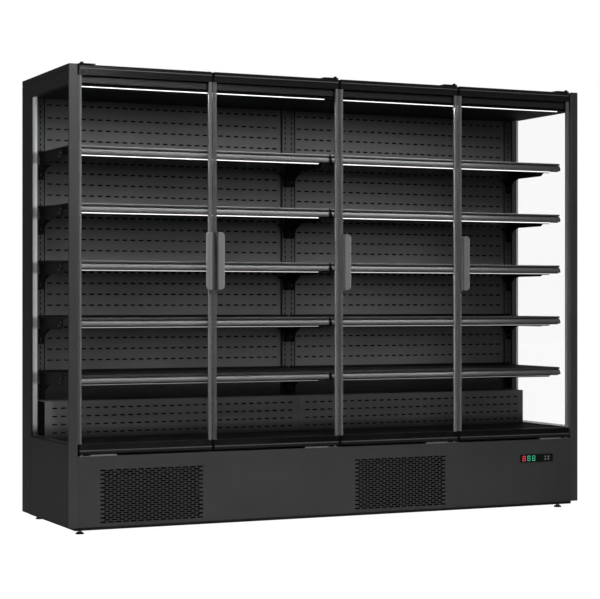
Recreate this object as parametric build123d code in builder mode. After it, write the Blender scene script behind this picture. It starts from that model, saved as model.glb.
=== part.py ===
from build123d import *
from math import cos, radians, sin
import os

# Multideck display cabinet: two shelf bays behind four hinged glass doors, on a base
# that holds the condensing units. Millimetres, +Z up, standing on the floor at Z 0,
# the front facing -Y, centred on its overall footprint.

os.makedirs("parts", exist_ok=True)

# ---- Cabinet --------------------------------------------------------------------------
cabinet_width = 2580
cabinet_depth = 709
body_height = 1988
foot_height = 34
bay_count = 2
panel_joint = 1  # from a bay's end to its ceiling and back panels
doors_per_bay = 2
sheet = 2  # folded sheet steel
side_margin = 40  # from the outside of an end wall to the first door's share of the front

# ---- End walls ------------------------------------------------------------------------
end_wall_thickness = 30
front_post_width = 38
front_post_depth = 12
window_sill = 354  # above the body's underside
window_head_drop = 88  # from the body's top
window_rear_gap = 2  # from the window's rear edge to the shelf uprights
pane_thickness = 4
side_pane_inset = 4  # from the wall's outside to the outer pane
rear_profile_width = 36
sill_profile_height = 10

# ---- Insulated body -------------------------------------------------------------------
seal_depth = 41  # depth of the plane that the doors close against
wall_insulation = 60
floor_insulation = 40
roof_insulation = 40
floor_underside = 250  # above the body's underside
sill_thickness = 21
sill_drop = 2  # from the deck's top
sill_edge_radius = 4

# ---- Base -----------------------------------------------------------------------------
base_height = 305
base_panel_recess = 2
chassis_rail_height = 14
chassis_rail_width = 60
chassis_inset = 14
foot_diameter = 37
foot_corner_inset = 70
foot_middle_setback = 300
foot_stem_diameter = 12
foot_pad_height = 9
foot_pad_taper = 30  # degrees
foot_pad_sides = 12
foot_stem_sides = 6

# Vent grilles: slots in staggered rows, one field in front of each condensing unit
vent_field_width = 477
vent_field_height = 226
vent_field_low = 16
vent_field_from_end = 380  # from the cabinet's left end to the first field's centre
vent_field_from_joint = 316  # from the bays' joint to the second field's centre
vent_columns = 6
vent_rows = 5
vent_slot_length = 58
vent_slot_height = 20
rear_vent_width = 600
rear_vent_height = 150
rear_vent_columns = 5
rear_vent_rows = 3

# ---- Doors ----------------------------------------------------------------------------
door_gap = 14
door_foot_gap = 8  # between the base panel's top and a door
door_head_gap = 1.5
rail_height = 45
rail_depth = 34
rail_lip = 14  # height of the rail's front lip over the glass
rail_web = 8
rail_bevel = 5
front_pane_depth = 3
rear_pane_depth = 23
edge_profile_width = 11
edge_lip_reach = 5
edge_lip_depth = 12
edge_lip_thickness = 6
seal_height = 27
seal_inset = 16
seal_clearance = 0.5
top_seal_drop = 4

# ---- Door hinges ----------------------------------------------------------------------
pivot_from_edge = 13
pivot_depth = 11.5
pin_radius = 3.5
pin_clearance = 0.08
pin_engagement = 28
hinge_plate_thickness = 4
hinge_plate_length = 73
hinge_plate_front = 3
hinge_plate_reach = 100
hinge_nut_radius = 8
hinge_nut_sides = 6
hinge_nut_height = 6
hinge_foot_thickness = 1.5
hinge_strip_length = 113
hinge_strip_start = 42  # from the pivot to the strip's rounded end
hinge_strip_height = 4.5
hinge_strip_depth = 14
hinge_strip_end_sides = 16

# ---- Door handles ---------------------------------------------------------------------
handle_width = 35
handle_height = 255
handle_centre = 1150  # above the body's underside
handle_reach = 24  # in front of the doors' front plane
handle_plate = 3
handle_edge_gap = 2
handle_foot_width = 18
handle_corner_radius = 18
handle_bend_radius = 2

# ---- Canopy ---------------------------------------------------------------------------
ceiling_drop = 90  # from the body's top
canopy_flange = 21
honeycomb_width = 70
honeycomb_thickness = 12
honeycomb_cells = 9
honeycomb_wall = 8
canopy_light_width = 12
canopy_light_height = 8
canopy_light_inset = 55
canopy_light_edge = 2

# ---- Rear duct, back panels and uprights ----------------------------------------------
duct_depth = 67  # from the rear wall to the back panels
upright_depth = 12
upright_width = 62
side_upright_width = 30
slot_column_offset = 17
slot_width = 6
slot_clearance = 3
panel_slot_length = 24
panel_slot_height = 6
panel_slot_columns = 4

# ---- Shelves --------------------------------------------------------------------------
shelf_count = 5
lowest_shelf = 648  # top face above the body's underside
shelf_pitch = 250
shelf_front = 107
shelf_side_gap = 4
shelf_rear_gap = 1
nose_height = 9
nose_depth = 13
nose_corner = 6
nose_web_height = 40
shelf_rear_lip = 10
price_rail_gap = 5
price_rail_height = 21
price_rail_bulge = 11
price_rail_edge = 5  # height of the slope above and below the rail's flat front
shelf_light_width = 12
shelf_light_height = 7
shelf_light_inset = 52

# Shelf brackets: plates hooked into the uprights' slots
bracket_thickness = 3
bracket_length = 335
bracket_tip_height = 37
bracket_tip_run = 25
bracket_arm_height = 52
bracket_arc_reach = 103  # from the upright to the arc's start
bracket_heel_height = 124
bracket_heel_width = 14
hook_drops = (28, 100)  # below the shelf's top
hook_height = 10
hook_reach = 5
hook_catch = 8
hook_play = 1
bracket_arc_steps = 3

# ---- Deck, return grille and lower covers ---------------------------------------------
deck_height = 352
deck_front = 112
deck_lip = 24
deck_overlap = 16
cover_reach = 120  # from the uprights' front to the cover's front
lower_cover_height = 520
cover_slot_rows = 2
cover_slot_columns = 4
return_slots = 7
return_slot_width = 80

# ---- Refrigeration --------------------------------------------------------------------
condenser_width = 420
condenser_height = 205
condenser_thickness = 45
condenser_depth = 22
condenser_lift = 6
condenser_fan_radius = 95
condenser_fan_clearance = 4
condenser_fan_depth = 100
shroud_depth = 96
compressor_radius = 80
compressor_height = 175
compressor_feet = 200
compressor_foot_thickness = 6
compressor_foot_width = 128
compressor_shoulder = 120  # height where the dome starts
compressor_dome_radius = 56  # radius halfway up the dome
compressor_dome_height = 160
evaporator_end_gap = 130  # from the bay's ends
evaporator_height = 100
evaporator_reach = 58  # in front of the uprights' front
evaporator_rear_gap = 9
evaporator_lift = 115  # above the insulated floor
fan_plate_lift = 82
evaporator_fan_radius = 54
evaporator_fan_clearance = 4
evaporator_fans_per_bay = 2
fan_hub_radius = 26
fan_hub_sides = 12
fan_opening_sides = 18
fan_blades = 5
fan_blade_angle = 42  # share of the circle that a blade covers, in degrees
fan_blade_pitch = 20  # degrees from the rotor's plane
fan_rotor_thickness = 16
fan_blade_thickness = 3
fan_shaft_radius = 3
fan_shaft_sides = 6
fan_motor_size = 40
fan_motor_length = 20
fan_motor_gap = 6
fan_strut_width = 10
pipe_radius = 6
pipe_sides = 12
pipe_setback = 24  # from a riser to the evaporator
pipe_hole_clearance = 3
valve_radius = 11
valve_sides = 6
valve_height = 34
valve_drop = 4  # from the evaporator's underside to the valve's foot
tray_length = 360
tray_width = 260
tray_height = 60
tray_wall = 3
tray_rear_gap = 69  # from the rear wall
electrical_box_width = 220
electrical_box_depth = 120
electrical_box_near = 64
gland_radius = 11
gland_bore_radius = 5.5
gland_height = 33  # above the floor plate
gland_offset = 55  # from the box's middle
gland_length = 24
gland_sides = 6

# ---- Controller -----------------------------------------------------------------------
controller_from_end = 235  # from the cabinet's right end to the controller's centre
controller_height = 216  # above the body's underside
bezel_width = 185
bezel_height = 38
bezel_reach = 2  # in front of the base panel
bezel_corner_radius = 3
housing_width = 172
housing_height = 28
housing_clearance = 1
display_width = 100
display_height = 24
display_thickness = 1.2
display_offset = -36
key_columns = 2
key_rows = 2
key_width = 12
key_height = 9
key_pitch_x = 18
key_pitch_z = 13
key_offset = 58
key_thickness = 4
key_travel = 1
key_clearance = 0.4
key_proud = 0.6
key_edge = 0.5

# ---- Derived places -------------------------------------------------------------------
front_y = (handle_reach - cabinet_depth) / 2
body_bottom = foot_height
body_top = body_bottom + body_height
inner_half = cabinet_width / 2 - end_wall_thickness
bay_width = (cabinet_width - 2 * side_margin) / bay_count
door_pitch = bay_width / doors_per_bay
door_width = door_pitch - door_gap
base_top = body_bottom + base_height
door_bottom = base_top + door_foot_gap
door_top = body_top - door_head_gap
ceiling = body_top - ceiling_drop
window_low = body_bottom + window_sill
window_high = body_top - window_head_drop
duct_floor = body_bottom + floor_underside + floor_insulation
deck_top = body_bottom + deck_height
cover_top = body_bottom + lower_cover_height
rear_wall_near = cabinet_depth - wall_insulation
back_panel_depth = rear_wall_near - duct_depth
upright_near = back_panel_depth - upright_depth
window_rear = upright_near - window_rear_gap
cover_front = upright_near - cover_reach
evaporator_near = upright_near - evaporator_reach
evaporator_far = rear_wall_near - evaporator_rear_gap
evaporator_low = duct_floor + evaporator_lift
evaporator_width = inner_half - 2 * evaporator_end_gap
fan_plate_height = duct_floor + fan_plate_lift
riser_depth = evaporator_near - pipe_setback
controller_centre = cabinet_width / 2 - controller_from_end
controller_middle = body_bottom + controller_height
floor_plate_top = body_bottom + sheet
shelf_tops = [body_bottom + lowest_shelf + shelf_pitch * i for i in range(shelf_count)]
bay_spans = [(-inner_half, 0), (0, inner_half)]
bay_centres = [-inner_half / 2, inner_half / 2]
unit_centres = [vent_field_from_end - cabinet_width / 2, vent_field_from_joint]
door_centres = [
    -cabinet_width / 2 + side_margin + door_pitch * (i + 0.5)
    for i in range(bay_count * doors_per_bay)
]
# Each door's free edge: +1 for the right edge, -1 for the left edge
free_sides = [1, -1, -1, -1]


def depth(distance):
    """Y of a plane that lies a distance behind the cabinet's front plane."""
    return front_y + distance


def slab(x_span, depths, heights, mode=Mode.ADD):
    """Adds or cuts a box given by its X span, its depths and its heights."""
    centre_x = (x_span[0] + x_span[1]) / 2
    centre_y = depth((depths[0] + depths[1]) / 2)
    centre_z = (heights[0] + heights[1]) / 2
    size_x = x_span[1] - x_span[0]
    size_y = depths[1] - depths[0]
    size_z = heights[1] - heights[0]
    with Locations((centre_x, centre_y, centre_z)):
        Box(size_x, size_y, size_z, mode=mode)


def section_plane(x):
    """Plane for a cross-section: its x is depth, its y is height, and it faces +X."""
    return Plane(origin=(x, front_y, 0), x_dir=(0, 1, 0), z_dir=(1, 0, 0))


def front_plane(distance):
    """Plane parallel to the front at a depth: its x is X, its y is height, it faces -Y."""
    return Plane(origin=(0, depth(distance), 0), x_dir=(1, 0, 0), z_dir=(0, -1, 0))


def slot_grid(columns, rows, pitch_x, pitch_z):
    """Centres of a slot field, every other row moved half a pitch and one slot shorter."""
    centres = []
    for row in range(rows):
        count = columns - row % 2
        for column in range(count):
            x = (column - (count - 1) / 2) * pitch_x
            z = (row - (rows - 1) / 2) * pitch_z
            centres.append((x, z))
    return centres


# ---- Base -----------------------------------------------------------------------------
def make_chassis():
    """Floor plate of the machine compartment on two long rails and two end rails."""
    half = inner_half
    near, far = chassis_inset, cabinet_depth - chassis_inset
    rail_low = body_bottom - chassis_rail_height
    with BuildPart() as chassis:
        slab((-half, half), (near, far), (body_bottom, floor_plate_top))
        for rail_near in (near, far - chassis_rail_width):
            rail_far = rail_near + chassis_rail_width
            slab((-half, half), (rail_near, rail_far), (rail_low, body_bottom))
        for rail_left in (-half, half - chassis_rail_width):
            rail_right = rail_left + chassis_rail_width
            slab((rail_left, rail_right), (near, far), (rail_low, body_bottom))
        cross_left = -chassis_rail_width / 2
        slab((cross_left, -cross_left), (near, far), (rail_low, body_bottom))
    chassis.part.label = "chassis"
    export_step(chassis.part, "parts/chassis.step")


def make_levelling_feet():
    """Four corner feet and two middle feet: a tapered pad with a hexagonal stem each."""
    corner_x = cabinet_width / 2 - foot_corner_inset
    rear = cabinet_depth - chassis_inset - chassis_rail_width / 2
    places = [
        (-corner_x, depth(foot_corner_inset)),
        (corner_x, depth(foot_corner_inset)),
        (-corner_x, depth(rear)),
        (corner_x, depth(rear)),
        (0, depth(foot_middle_setback)),
        (0, depth(rear)),
    ]
    with BuildPart() as feet:
        with BuildSketch():
            with Locations(*places):
                RegularPolygon(foot_diameter / 2, foot_pad_sides)
        extrude(amount=foot_pad_height, taper=foot_pad_taper)
        with BuildSketch(Plane.XY.offset(foot_pad_height)):
            with Locations(*places):
                RegularPolygon(foot_stem_diameter / 2, foot_stem_sides)
        extrude(amount=body_bottom - chassis_rail_height - foot_pad_height)
    feet.part.label = "levelling_feet"
    export_step(feet.part, "parts/levelling_feet.step")


def make_base_front_panel():
    """Folded front panel of the base with two vent fields and the controller's cutout."""
    half = cabinet_width / 2 - front_post_width
    near = base_panel_recess
    field_centre = body_bottom + vent_field_low + vent_field_height / 2
    pitch_x = vent_field_width / vent_columns
    pitch_z = vent_field_height / vent_rows
    with BuildPart() as panel:
        slab((-half, half), (near, near + sheet), (body_bottom, base_top))
        slab((-half, half), (near, seal_depth), (base_top - sheet, base_top))
        with BuildSketch(front_plane(near)):
            for centre in unit_centres:
                for x, z in slot_grid(vent_columns, vent_rows, pitch_x, pitch_z):
                    with Locations((centre + x, field_centre + z)):
                        Rectangle(vent_slot_length, vent_slot_height)
            with Locations((controller_centre, controller_middle)):
                cutout_width = housing_width + 2 * housing_clearance
                cutout_height = housing_height + 2 * housing_clearance
                Rectangle(cutout_width, cutout_height)
        extrude(amount=-sheet, mode=Mode.SUBTRACT)
    panel.part.label = "base_front_panel"
    export_step(panel.part, "parts/base_front_panel.step")


# ---- End walls ------------------------------------------------------------------------
def make_end_wall(side, name):
    """End wall with its window opening and the wider post at its front edge."""
    outer = cabinet_width / 2
    inner = outer - end_wall_thickness
    with BuildPart() as end_wall:
        with BuildSketch(section_plane(side * (outer + inner) / 2)):
            with BuildLine():
                Polyline(
                    (0, body_bottom),
                    (cabinet_depth, body_bottom),
                    (cabinet_depth, body_top),
                    (0, body_top),
                    close=True,
                )
            make_face()
            with BuildLine():
                Polyline(
                    (front_post_depth, window_low),
                    (window_rear, window_low),
                    (window_rear, window_high),
                    (front_post_depth, window_high),
                    close=True,
                )
            make_face(mode=Mode.SUBTRACT)
        extrude(amount=end_wall_thickness / 2, both=True)
        post_inner = outer - front_post_width
        post_span = sorted((side * post_inner, side * inner))
        slab(post_span, (0, front_post_depth), (body_bottom, body_top))
    end_wall.part.label = name
    export_step(end_wall.part, f"parts/{name}.step")


def make_side_glass():
    """Double glazing of both end walls: an outer and an inner pane in each window."""
    outer = cabinet_width / 2 - side_pane_inset
    inner = cabinet_width / 2 - end_wall_thickness + side_pane_inset
    depths = (front_post_depth, window_rear)
    heights = (window_low, window_high)
    with BuildPart() as glass:
        for side in (-1, 1):
            for face in (outer, inner + pane_thickness):
                span = sorted((side * face, side * (face - pane_thickness)))
                slab(span, depths, heights)
    glass.part.label = "side_glass"
    export_step(glass.part, "parts/side_glass.step")


def make_side_glazing_profiles():
    """Profiles between the panes of both windows: an upright rear one and a sill one."""
    outer = cabinet_width / 2 - side_pane_inset - pane_thickness
    inner = cabinet_width / 2 - end_wall_thickness + side_pane_inset + pane_thickness
    rear_near = window_rear - rear_profile_width
    with BuildPart() as profiles:
        for side in (-1, 1):
            span = sorted((side * outer, side * inner))
            sill_heights = (window_low, window_low + sill_profile_height)
            slab(span, (rear_near, window_rear), (window_low, window_high))
            slab(span, (front_post_depth, rear_near), sill_heights)
    profiles.part.label = "side_glazing_profiles"
    export_step(profiles.part, "parts/side_glazing_profiles.step")


# ---- Insulated body -------------------------------------------------------------------
def make_rear_wall():
    """Insulated rear wall whose outer sheet runs down to the chassis, with air slots."""
    low, high = body_bottom + floor_underside, body_top - roof_insulation
    chassis_far = cabinet_depth - chassis_inset
    pitch_x = rear_vent_width / rear_vent_columns
    pitch_z = rear_vent_height / rear_vent_rows
    with BuildPart() as rear_wall:
        with BuildSketch(section_plane(-inner_half)):
            with BuildLine():
                Polyline(
                    (chassis_far, body_bottom),
                    (cabinet_depth, body_bottom),
                    (cabinet_depth, high),
                    (rear_wall_near, high),
                    (rear_wall_near, low),
                    (cabinet_depth - sheet, low),
                    (cabinet_depth - sheet, floor_plate_top),
                    (chassis_far, floor_plate_top),
                    close=True,
                )
            make_face()
        extrude(amount=2 * inner_half)
        with BuildSketch(front_plane(cabinet_depth - sheet)):
            with Locations((0, (low + floor_plate_top) / 2)):
                with Locations(*slot_grid(rear_vent_columns, rear_vent_rows, pitch_x, pitch_z)):
                    Rectangle(vent_slot_length, vent_slot_height)
        extrude(amount=-sheet, mode=Mode.SUBTRACT)
    rear_wall.part.label = "rear_wall"
    export_step(rear_wall.part, "parts/rear_wall.step")


def make_insulated_floor():
    """Insulated floor under the return air duct, with a hole for each suction pipe."""
    low = body_bottom + floor_underside
    near = seal_depth + sill_thickness
    with BuildPart() as floor:
        slab((-inner_half, inner_half), (near, rear_wall_near), (low, duct_floor))
        with BuildSketch(Plane.XY.offset(low)):
            with Locations(*[(x, depth(riser_depth)) for x in unit_centres]):
                RegularPolygon(pipe_radius + pipe_hole_clearance, pipe_sides)
        extrude(amount=floor_insulation, mode=Mode.SUBTRACT)
    floor.part.label = "insulated_floor"
    export_step(floor.part, "parts/insulated_floor.step")


def make_front_sill():
    """Insulated upstand that the doors' lower seals close against."""
    low = body_bottom + floor_underside
    near, far = seal_depth, seal_depth + sill_thickness
    with BuildPart() as sill:
        slab((-inner_half, inner_half), (near, far), (low, deck_top - sill_drop))
        top_edges = sill.edges().filter_by(Axis.X).group_by(Axis.Z)[-1]
        fillet(top_edges, radius=sill_edge_radius)
    sill.part.label = "front_sill"
    export_step(sill.part, "parts/front_sill.step")


def make_roof_panel():
    """Insulated roof, from the doors' seal plane to the rear."""
    heights = (body_top - roof_insulation, body_top)
    with BuildPart() as roof:
        slab((-inner_half, inner_half), (seal_depth, cabinet_depth), heights)
    roof.part.label = "roof_panel"
    export_step(roof.part, "parts/roof_panel.step")


# ---- Canopy ---------------------------------------------------------------------------
def make_canopy_panels():
    """Canopy fascia with its folded flange, and the two ceiling sheets of the duct."""
    duct_top = body_top - roof_insulation
    flange_far = seal_depth + canopy_flange
    ceiling_near = flange_far + honeycomb_width
    with BuildPart() as panels:
        with BuildSketch(section_plane(-inner_half)):
            with BuildLine():
                Polyline(
                    (seal_depth, ceiling),
                    (flange_far, ceiling),
                    (flange_far, ceiling + sheet),
                    (seal_depth + sheet, ceiling + sheet),
                    (seal_depth + sheet, duct_top),
                    (seal_depth, duct_top),
                    close=True,
                )
            make_face()
        extrude(amount=2 * inner_half)
        for left, right in bay_spans:
            span = (left + panel_joint, right - panel_joint)
            slab(span, (ceiling_near, back_panel_depth), (ceiling, ceiling + sheet))
    panels.part.label = "canopy_panels"
    export_step(panels.part, "parts/canopy_panels.step")


def make_air_honeycombs():
    """Air outlet grid of each bay: a slab with a row of open cells."""
    near = seal_depth + canopy_flange
    far = near + honeycomb_width
    with BuildPart() as honeycombs:
        for left, right in bay_spans:
            low_x, high_x = left + panel_joint, right - panel_joint
            slab((low_x, high_x), (near, far), (ceiling, ceiling + honeycomb_thickness))
            pitch = (high_x - low_x) / honeycomb_cells
            for cell in range(honeycomb_cells):
                cell_left = low_x + pitch * cell + honeycomb_wall / 2
                cell_right = cell_left + pitch - honeycomb_wall
                cell_depths = (near + honeycomb_wall, far - honeycomb_wall)
                cell_heights = (ceiling, ceiling + honeycomb_thickness)
                slab((cell_left, cell_right), cell_depths, cell_heights, Mode.SUBTRACT)
    honeycombs.part.label = "air_honeycombs"
    export_step(honeycombs.part, "parts/air_honeycombs.step")


def make_canopy_lights():
    """Light strip under the canopy's front flange, one in each bay."""
    near = seal_depth + sheet
    with BuildPart() as lights:
        for bay in range(bay_count):
            left = -cabinet_width / 2 + side_margin + bay_width * bay
            span = (left + canopy_light_inset, left + bay_width - canopy_light_inset)
            heights = (ceiling - canopy_light_height, ceiling)
            slab(span, (near, near + canopy_light_width), heights)
        lower_edges = lights.edges().filter_by(Axis.X).group_by(Axis.Z)[0]
        fillet(lower_edges, radius=canopy_light_edge)
    lights.part.label = "canopy_lights"
    export_step(lights.part, "parts/canopy_lights.step")


# ---- Uprights and back panels ---------------------------------------------------------
def bracket_columns():
    """X of every column of slots: one in each side upright, two in the middle one."""
    side_column = inner_half - side_upright_width / 2
    return [-side_column, -slot_column_offset, slot_column_offset, side_column]


def make_shelf_uprights():
    """Channel uprights with the slots that the shelf brackets hook into."""
    side_middle = inner_half - side_upright_width / 2
    channels = [
        (-side_middle, side_upright_width),
        (0, upright_width),
        (side_middle, side_upright_width),
    ]
    slot_height = hook_height + hook_catch + 2 * slot_clearance
    with BuildPart() as uprights:
        with BuildSketch(Plane.XY.offset(cover_top)):
            for x, width in channels:
                with Locations((x, depth(upright_near + upright_depth / 2))):
                    Rectangle(width, upright_depth)
                with Locations((x, depth(upright_near + sheet + upright_depth / 2))):
                    Rectangle(width - 2 * sheet, upright_depth, mode=Mode.SUBTRACT)
        extrude(amount=ceiling - cover_top)
        with BuildSketch(front_plane(upright_near)):
            for x in bracket_columns():
                for top in shelf_tops:
                    for drop in hook_drops:
                        with Locations((x, top - drop - hook_catch / 2)):
                            Rectangle(slot_width, slot_height)
        extrude(amount=-sheet, mode=Mode.SUBTRACT)
    uprights.part.label = "shelf_uprights"
    export_step(uprights.part, "parts/shelf_uprights.step")


def make_back_panels():
    """Back panel of each bay with rows of air slots above every shelf."""
    with BuildPart() as panels:
        for left, right in bay_spans:
            span = (left + panel_joint, right - panel_joint)
            slab(span, (back_panel_depth, back_panel_depth + sheet), (cover_top, ceiling))
        with BuildSketch(front_plane(back_panel_depth)):
            pitch_x = (inner_half - upright_width) / panel_slot_columns
            for centre in bay_centres:
                for top in shelf_tops:
                    for column in range(panel_slot_columns):
                        x = centre + (column - (panel_slot_columns - 1) / 2) * pitch_x
                        with Locations((x, top + shelf_pitch / 2)):
                            Rectangle(panel_slot_length, panel_slot_height)
        extrude(amount=-sheet, mode=Mode.SUBTRACT)
    panels.part.label = "back_panels"
    export_step(panels.part, "parts/back_panels.step")


# ---- Shelves --------------------------------------------------------------------------
def shelf_section(top):
    """Corner points of a shelf's cross-section: nose, web, plate and rear lip."""
    far = upright_near - shelf_rear_gap
    web = shelf_front + nose_depth
    return [
        (shelf_front, top - nose_height),
        (web, top - nose_height),
        (web, top - nose_web_height),
        (web + sheet, top - nose_web_height),
        (web + sheet, top - sheet),
        (far, top - sheet),
        (far, top + shelf_rear_lip),
        (far - sheet, top + shelf_rear_lip),
        (far - sheet, top),
        (shelf_front, top),
    ]


def make_shelves(bay, name):
    """All shelves of one bay, each with a nose over its price rail."""
    left, right = bay_spans[bay]
    left += shelf_side_gap
    right -= shelf_side_gap
    with BuildPart() as shelves:
        for top in shelf_tops:
            with BuildSketch(section_plane(left)):
                with BuildLine():
                    Polyline(*shelf_section(top), close=True)
                make_face()
            extrude(amount=right - left)
        nose_corners = shelves.edges().filter_by(Axis.Z).group_by(Axis.Y)[0]
        chamfer(nose_corners, length=nose_corner)
    shelves.part.label = name
    export_step(shelves.part, f"parts/{name}.step")


def make_price_rails():
    """Bulged price rail on every shelf's web, below the nose."""
    web = shelf_front + nose_depth
    with BuildPart() as rails:
        for left, right in bay_spans:
            for top in shelf_tops:
                rail_top = top - nose_height - price_rail_gap
                rail_low = rail_top - price_rail_height
                with BuildSketch(section_plane(left + shelf_side_gap)):
                    with BuildLine():
                        Polyline(
                            (web, rail_low),
                            (web, rail_top),
                            (web - price_rail_bulge, rail_top - price_rail_edge),
                            (web - price_rail_bulge, rail_low + price_rail_edge),
                            close=True,
                        )
                    make_face()
                extrude(amount=right - left - 2 * shelf_side_gap)
    rails.part.label = "price_rails"
    export_step(rails.part, "parts/price_rails.step")


def make_shelf_lights():
    """Light strip under every shelf's web."""
    far = shelf_front + nose_depth + sheet
    with BuildPart() as lights:
        for left, right in bay_spans:
            for top in shelf_tops:
                high = top - nose_web_height
                span = (left + shelf_light_inset, right - shelf_light_inset)
                depths = (far - shelf_light_width, far)
                slab(span, depths, (high - shelf_light_height, high))
    lights.part.label = "shelf_lights"
    export_step(lights.part, "parts/shelf_lights.step")


def make_shelf_brackets():
    """Bracket plates under the shelves' ends, with two hooks each in the uprights."""
    heel = upright_near - bracket_heel_width
    tip = upright_near - bracket_length
    arc_start = upright_near - bracket_arc_reach
    arm = -bracket_arm_height
    foot = -bracket_heel_height
    angles = [radians(90 * step / bracket_arc_steps) for step in range(bracket_arc_steps + 1)]
    arc = [
        (arc_start + (heel - arc_start) * sin(angle), foot + (arm - foot) * cos(angle))
        for angle in angles
    ]
    hook_far = upright_near + sheet + hook_reach
    catch_depth = hook_reach - hook_play
    with BuildPart() as bracket:
        with BuildSketch(section_plane(0)):
            with BuildLine():
                Polyline(
                    *arc,
                    (upright_near, foot),
                    (upright_near, -sheet),
                    (tip, -sheet),
                    (tip, -bracket_tip_height),
                    (tip + bracket_tip_run, arm),
                    close=True,
                )
            make_face()
            for drop in hook_drops:
                with Locations(((upright_near + hook_far) / 2, -drop)):
                    Rectangle(hook_far - upright_near, hook_height)
                catch_height = -drop - (hook_height + hook_catch) / 2
                with Locations((hook_far - catch_depth / 2, catch_height)):
                    Rectangle(catch_depth, hook_catch)
        extrude(amount=bracket_thickness / 2, both=True)
    with BuildPart() as brackets:
        with Locations(*[(x, 0, top) for x in bracket_columns() for top in shelf_tops]):
            add(bracket.part)
    brackets.part.label = "shelf_brackets"
    export_step(brackets.part, "parts/shelf_brackets.step")


# ---- Deck, return grille and lower covers ---------------------------------------------
def make_deck_trays():
    """Removable bottom deck of each bay with its folded front lip."""
    far = cover_front + deck_overlap
    with BuildPart() as decks:
        for left, right in bay_spans:
            with BuildSketch(section_plane(left)):
                with BuildLine():
                    Polyline(
                        (deck_front, deck_top - deck_lip),
                        (deck_front + sheet, deck_top - deck_lip),
                        (deck_front + sheet, deck_top - sheet),
                        (far, deck_top - sheet),
                        (far, deck_top),
                        (deck_front, deck_top),
                        close=True,
                    )
                make_face()
            extrude(amount=right - left - panel_joint)
    decks.part.label = "deck_trays"
    export_step(decks.part, "parts/deck_trays.step")


def make_return_air_grilles():
    """Slotted grille of each bay between the front sill and the deck."""
    near = seal_depth + sill_thickness
    high = deck_top - deck_lip / 2
    with BuildPart() as grilles:
        for left, right in bay_spans:
            slab((left, right - panel_joint), (near, deck_front), (high - sheet, high))
            pitch = (right - left) / return_slots
            for slot in range(return_slots):
                centre = left + pitch * (slot + 0.5)
                span = (centre - return_slot_width / 2, centre + return_slot_width / 2)
                slot_depths = (near + nose_depth, deck_front - nose_depth)
                slab(span, slot_depths, (high - sheet, high), Mode.SUBTRACT)
    grilles.part.label = "return_air_grilles"
    export_step(grilles.part, "parts/return_air_grilles.step")


def make_lower_back_covers():
    """Folded cover in front of each bay's evaporator, with rows of air slots."""
    flange_far = upright_near - shelf_rear_gap
    with BuildPart() as covers:
        for left, right in bay_spans:
            with BuildSketch(section_plane(left)):
                with BuildLine():
                    Polyline(
                        (cover_front, deck_top),
                        (cover_front + sheet, deck_top),
                        (cover_front + sheet, cover_top - sheet),
                        (flange_far, cover_top - sheet),
                        (flange_far, cover_top),
                        (cover_front, cover_top),
                        close=True,
                    )
                make_face()
            extrude(amount=right - left - panel_joint)
        pitch_x = inner_half / (cover_slot_columns + 1)
        pitch_z = (cover_top - deck_top) / (cover_slot_rows + 1)
        with BuildSketch(front_plane(cover_front)):
            for centre in bay_centres:
                for column in range(cover_slot_columns):
                    for row in range(cover_slot_rows):
                        x = centre + (column - (cover_slot_columns - 1) / 2) * pitch_x
                        with Locations((x, deck_top + pitch_z * (row + 1))):
                            Rectangle(panel_slot_length, panel_slot_height)
        extrude(amount=-sheet, mode=Mode.SUBTRACT)
    covers.part.label = "lower_back_covers"
    export_step(covers.part, "parts/lower_back_covers.step")


# ---- Refrigeration --------------------------------------------------------------------
def make_condensers():
    """Condenser coil behind each vent field, with end plates that stand on the floor."""
    far = condenser_depth + condenser_thickness
    low = floor_plate_top + condenser_lift
    high = low + condenser_height
    with BuildPart() as condensers:
        for centre in unit_centres:
            left, right = centre - condenser_width / 2, centre + condenser_width / 2
            slab((left, right), (condenser_depth, far), (low, high))
            slab((left - sheet, left), (condenser_depth, far), (floor_plate_top, high))
            slab((right, right + sheet), (condenser_depth, far), (floor_plate_top, high))
    condensers.part.label = "condensers"
    export_step(condensers.part, "parts/condensers.step")


def make_rotor(radius, name, place, facing):
    """Axial fan rotor: a hub with a shaft and pitched blades, turned to face an axis."""
    root = fan_hub_radius - fan_blade_thickness
    half_angle = fan_blade_angle / 2
    corner = (radius * cos(radians(half_angle)), radius * sin(radians(half_angle)))
    root_half = root * sin(radians(half_angle))
    with BuildPart() as blade:
        with BuildSketch(Plane.XY.rotated((fan_blade_pitch, 0, 0))):
            with BuildLine():
                Polyline(
                    (corner[0], -corner[1]),
                    (radius, 0),
                    corner,
                    (root, root_half),
                    (root, -root_half),
                    close=True,
                )
            make_face()
        extrude(amount=fan_blade_thickness / 2, both=True)
    plane = Plane(origin=place, z_dir=facing)
    with BuildPart() as rotor:
        with BuildSketch(plane):
            RegularPolygon(fan_hub_radius, fan_hub_sides)
        extrude(amount=fan_rotor_thickness / 2, both=True)
        with BuildSketch(plane):
            RegularPolygon(fan_shaft_radius, fan_shaft_sides)
        extrude(amount=fan_rotor_thickness / 2 + fan_motor_gap)
        with Locations(plane):
            with PolarLocations(0, fan_blades):
                add(blade.part)
    rotor.part.label = name
    export_step(rotor.part, f"parts/{name}.step")


def evaporator_fan_places():
    """Centres of the evaporator fans' openings in the fan plates, from left to right."""
    middle = (evaporator_near + evaporator_far) / 2
    spacing = evaporator_width / evaporator_fans_per_bay
    return [
        (centre + (i - (evaporator_fans_per_bay - 1) / 2) * spacing, depth(middle), fan_plate_height)
        for centre in bay_centres
        for i in range(evaporator_fans_per_bay)
    ]


def condenser_fan_places():
    """Centres of the condenser fans, from left to right."""
    height = floor_plate_top + condenser_lift + condenser_height / 2
    return [(x, depth(condenser_fan_depth), height) for x in unit_centres]


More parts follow.
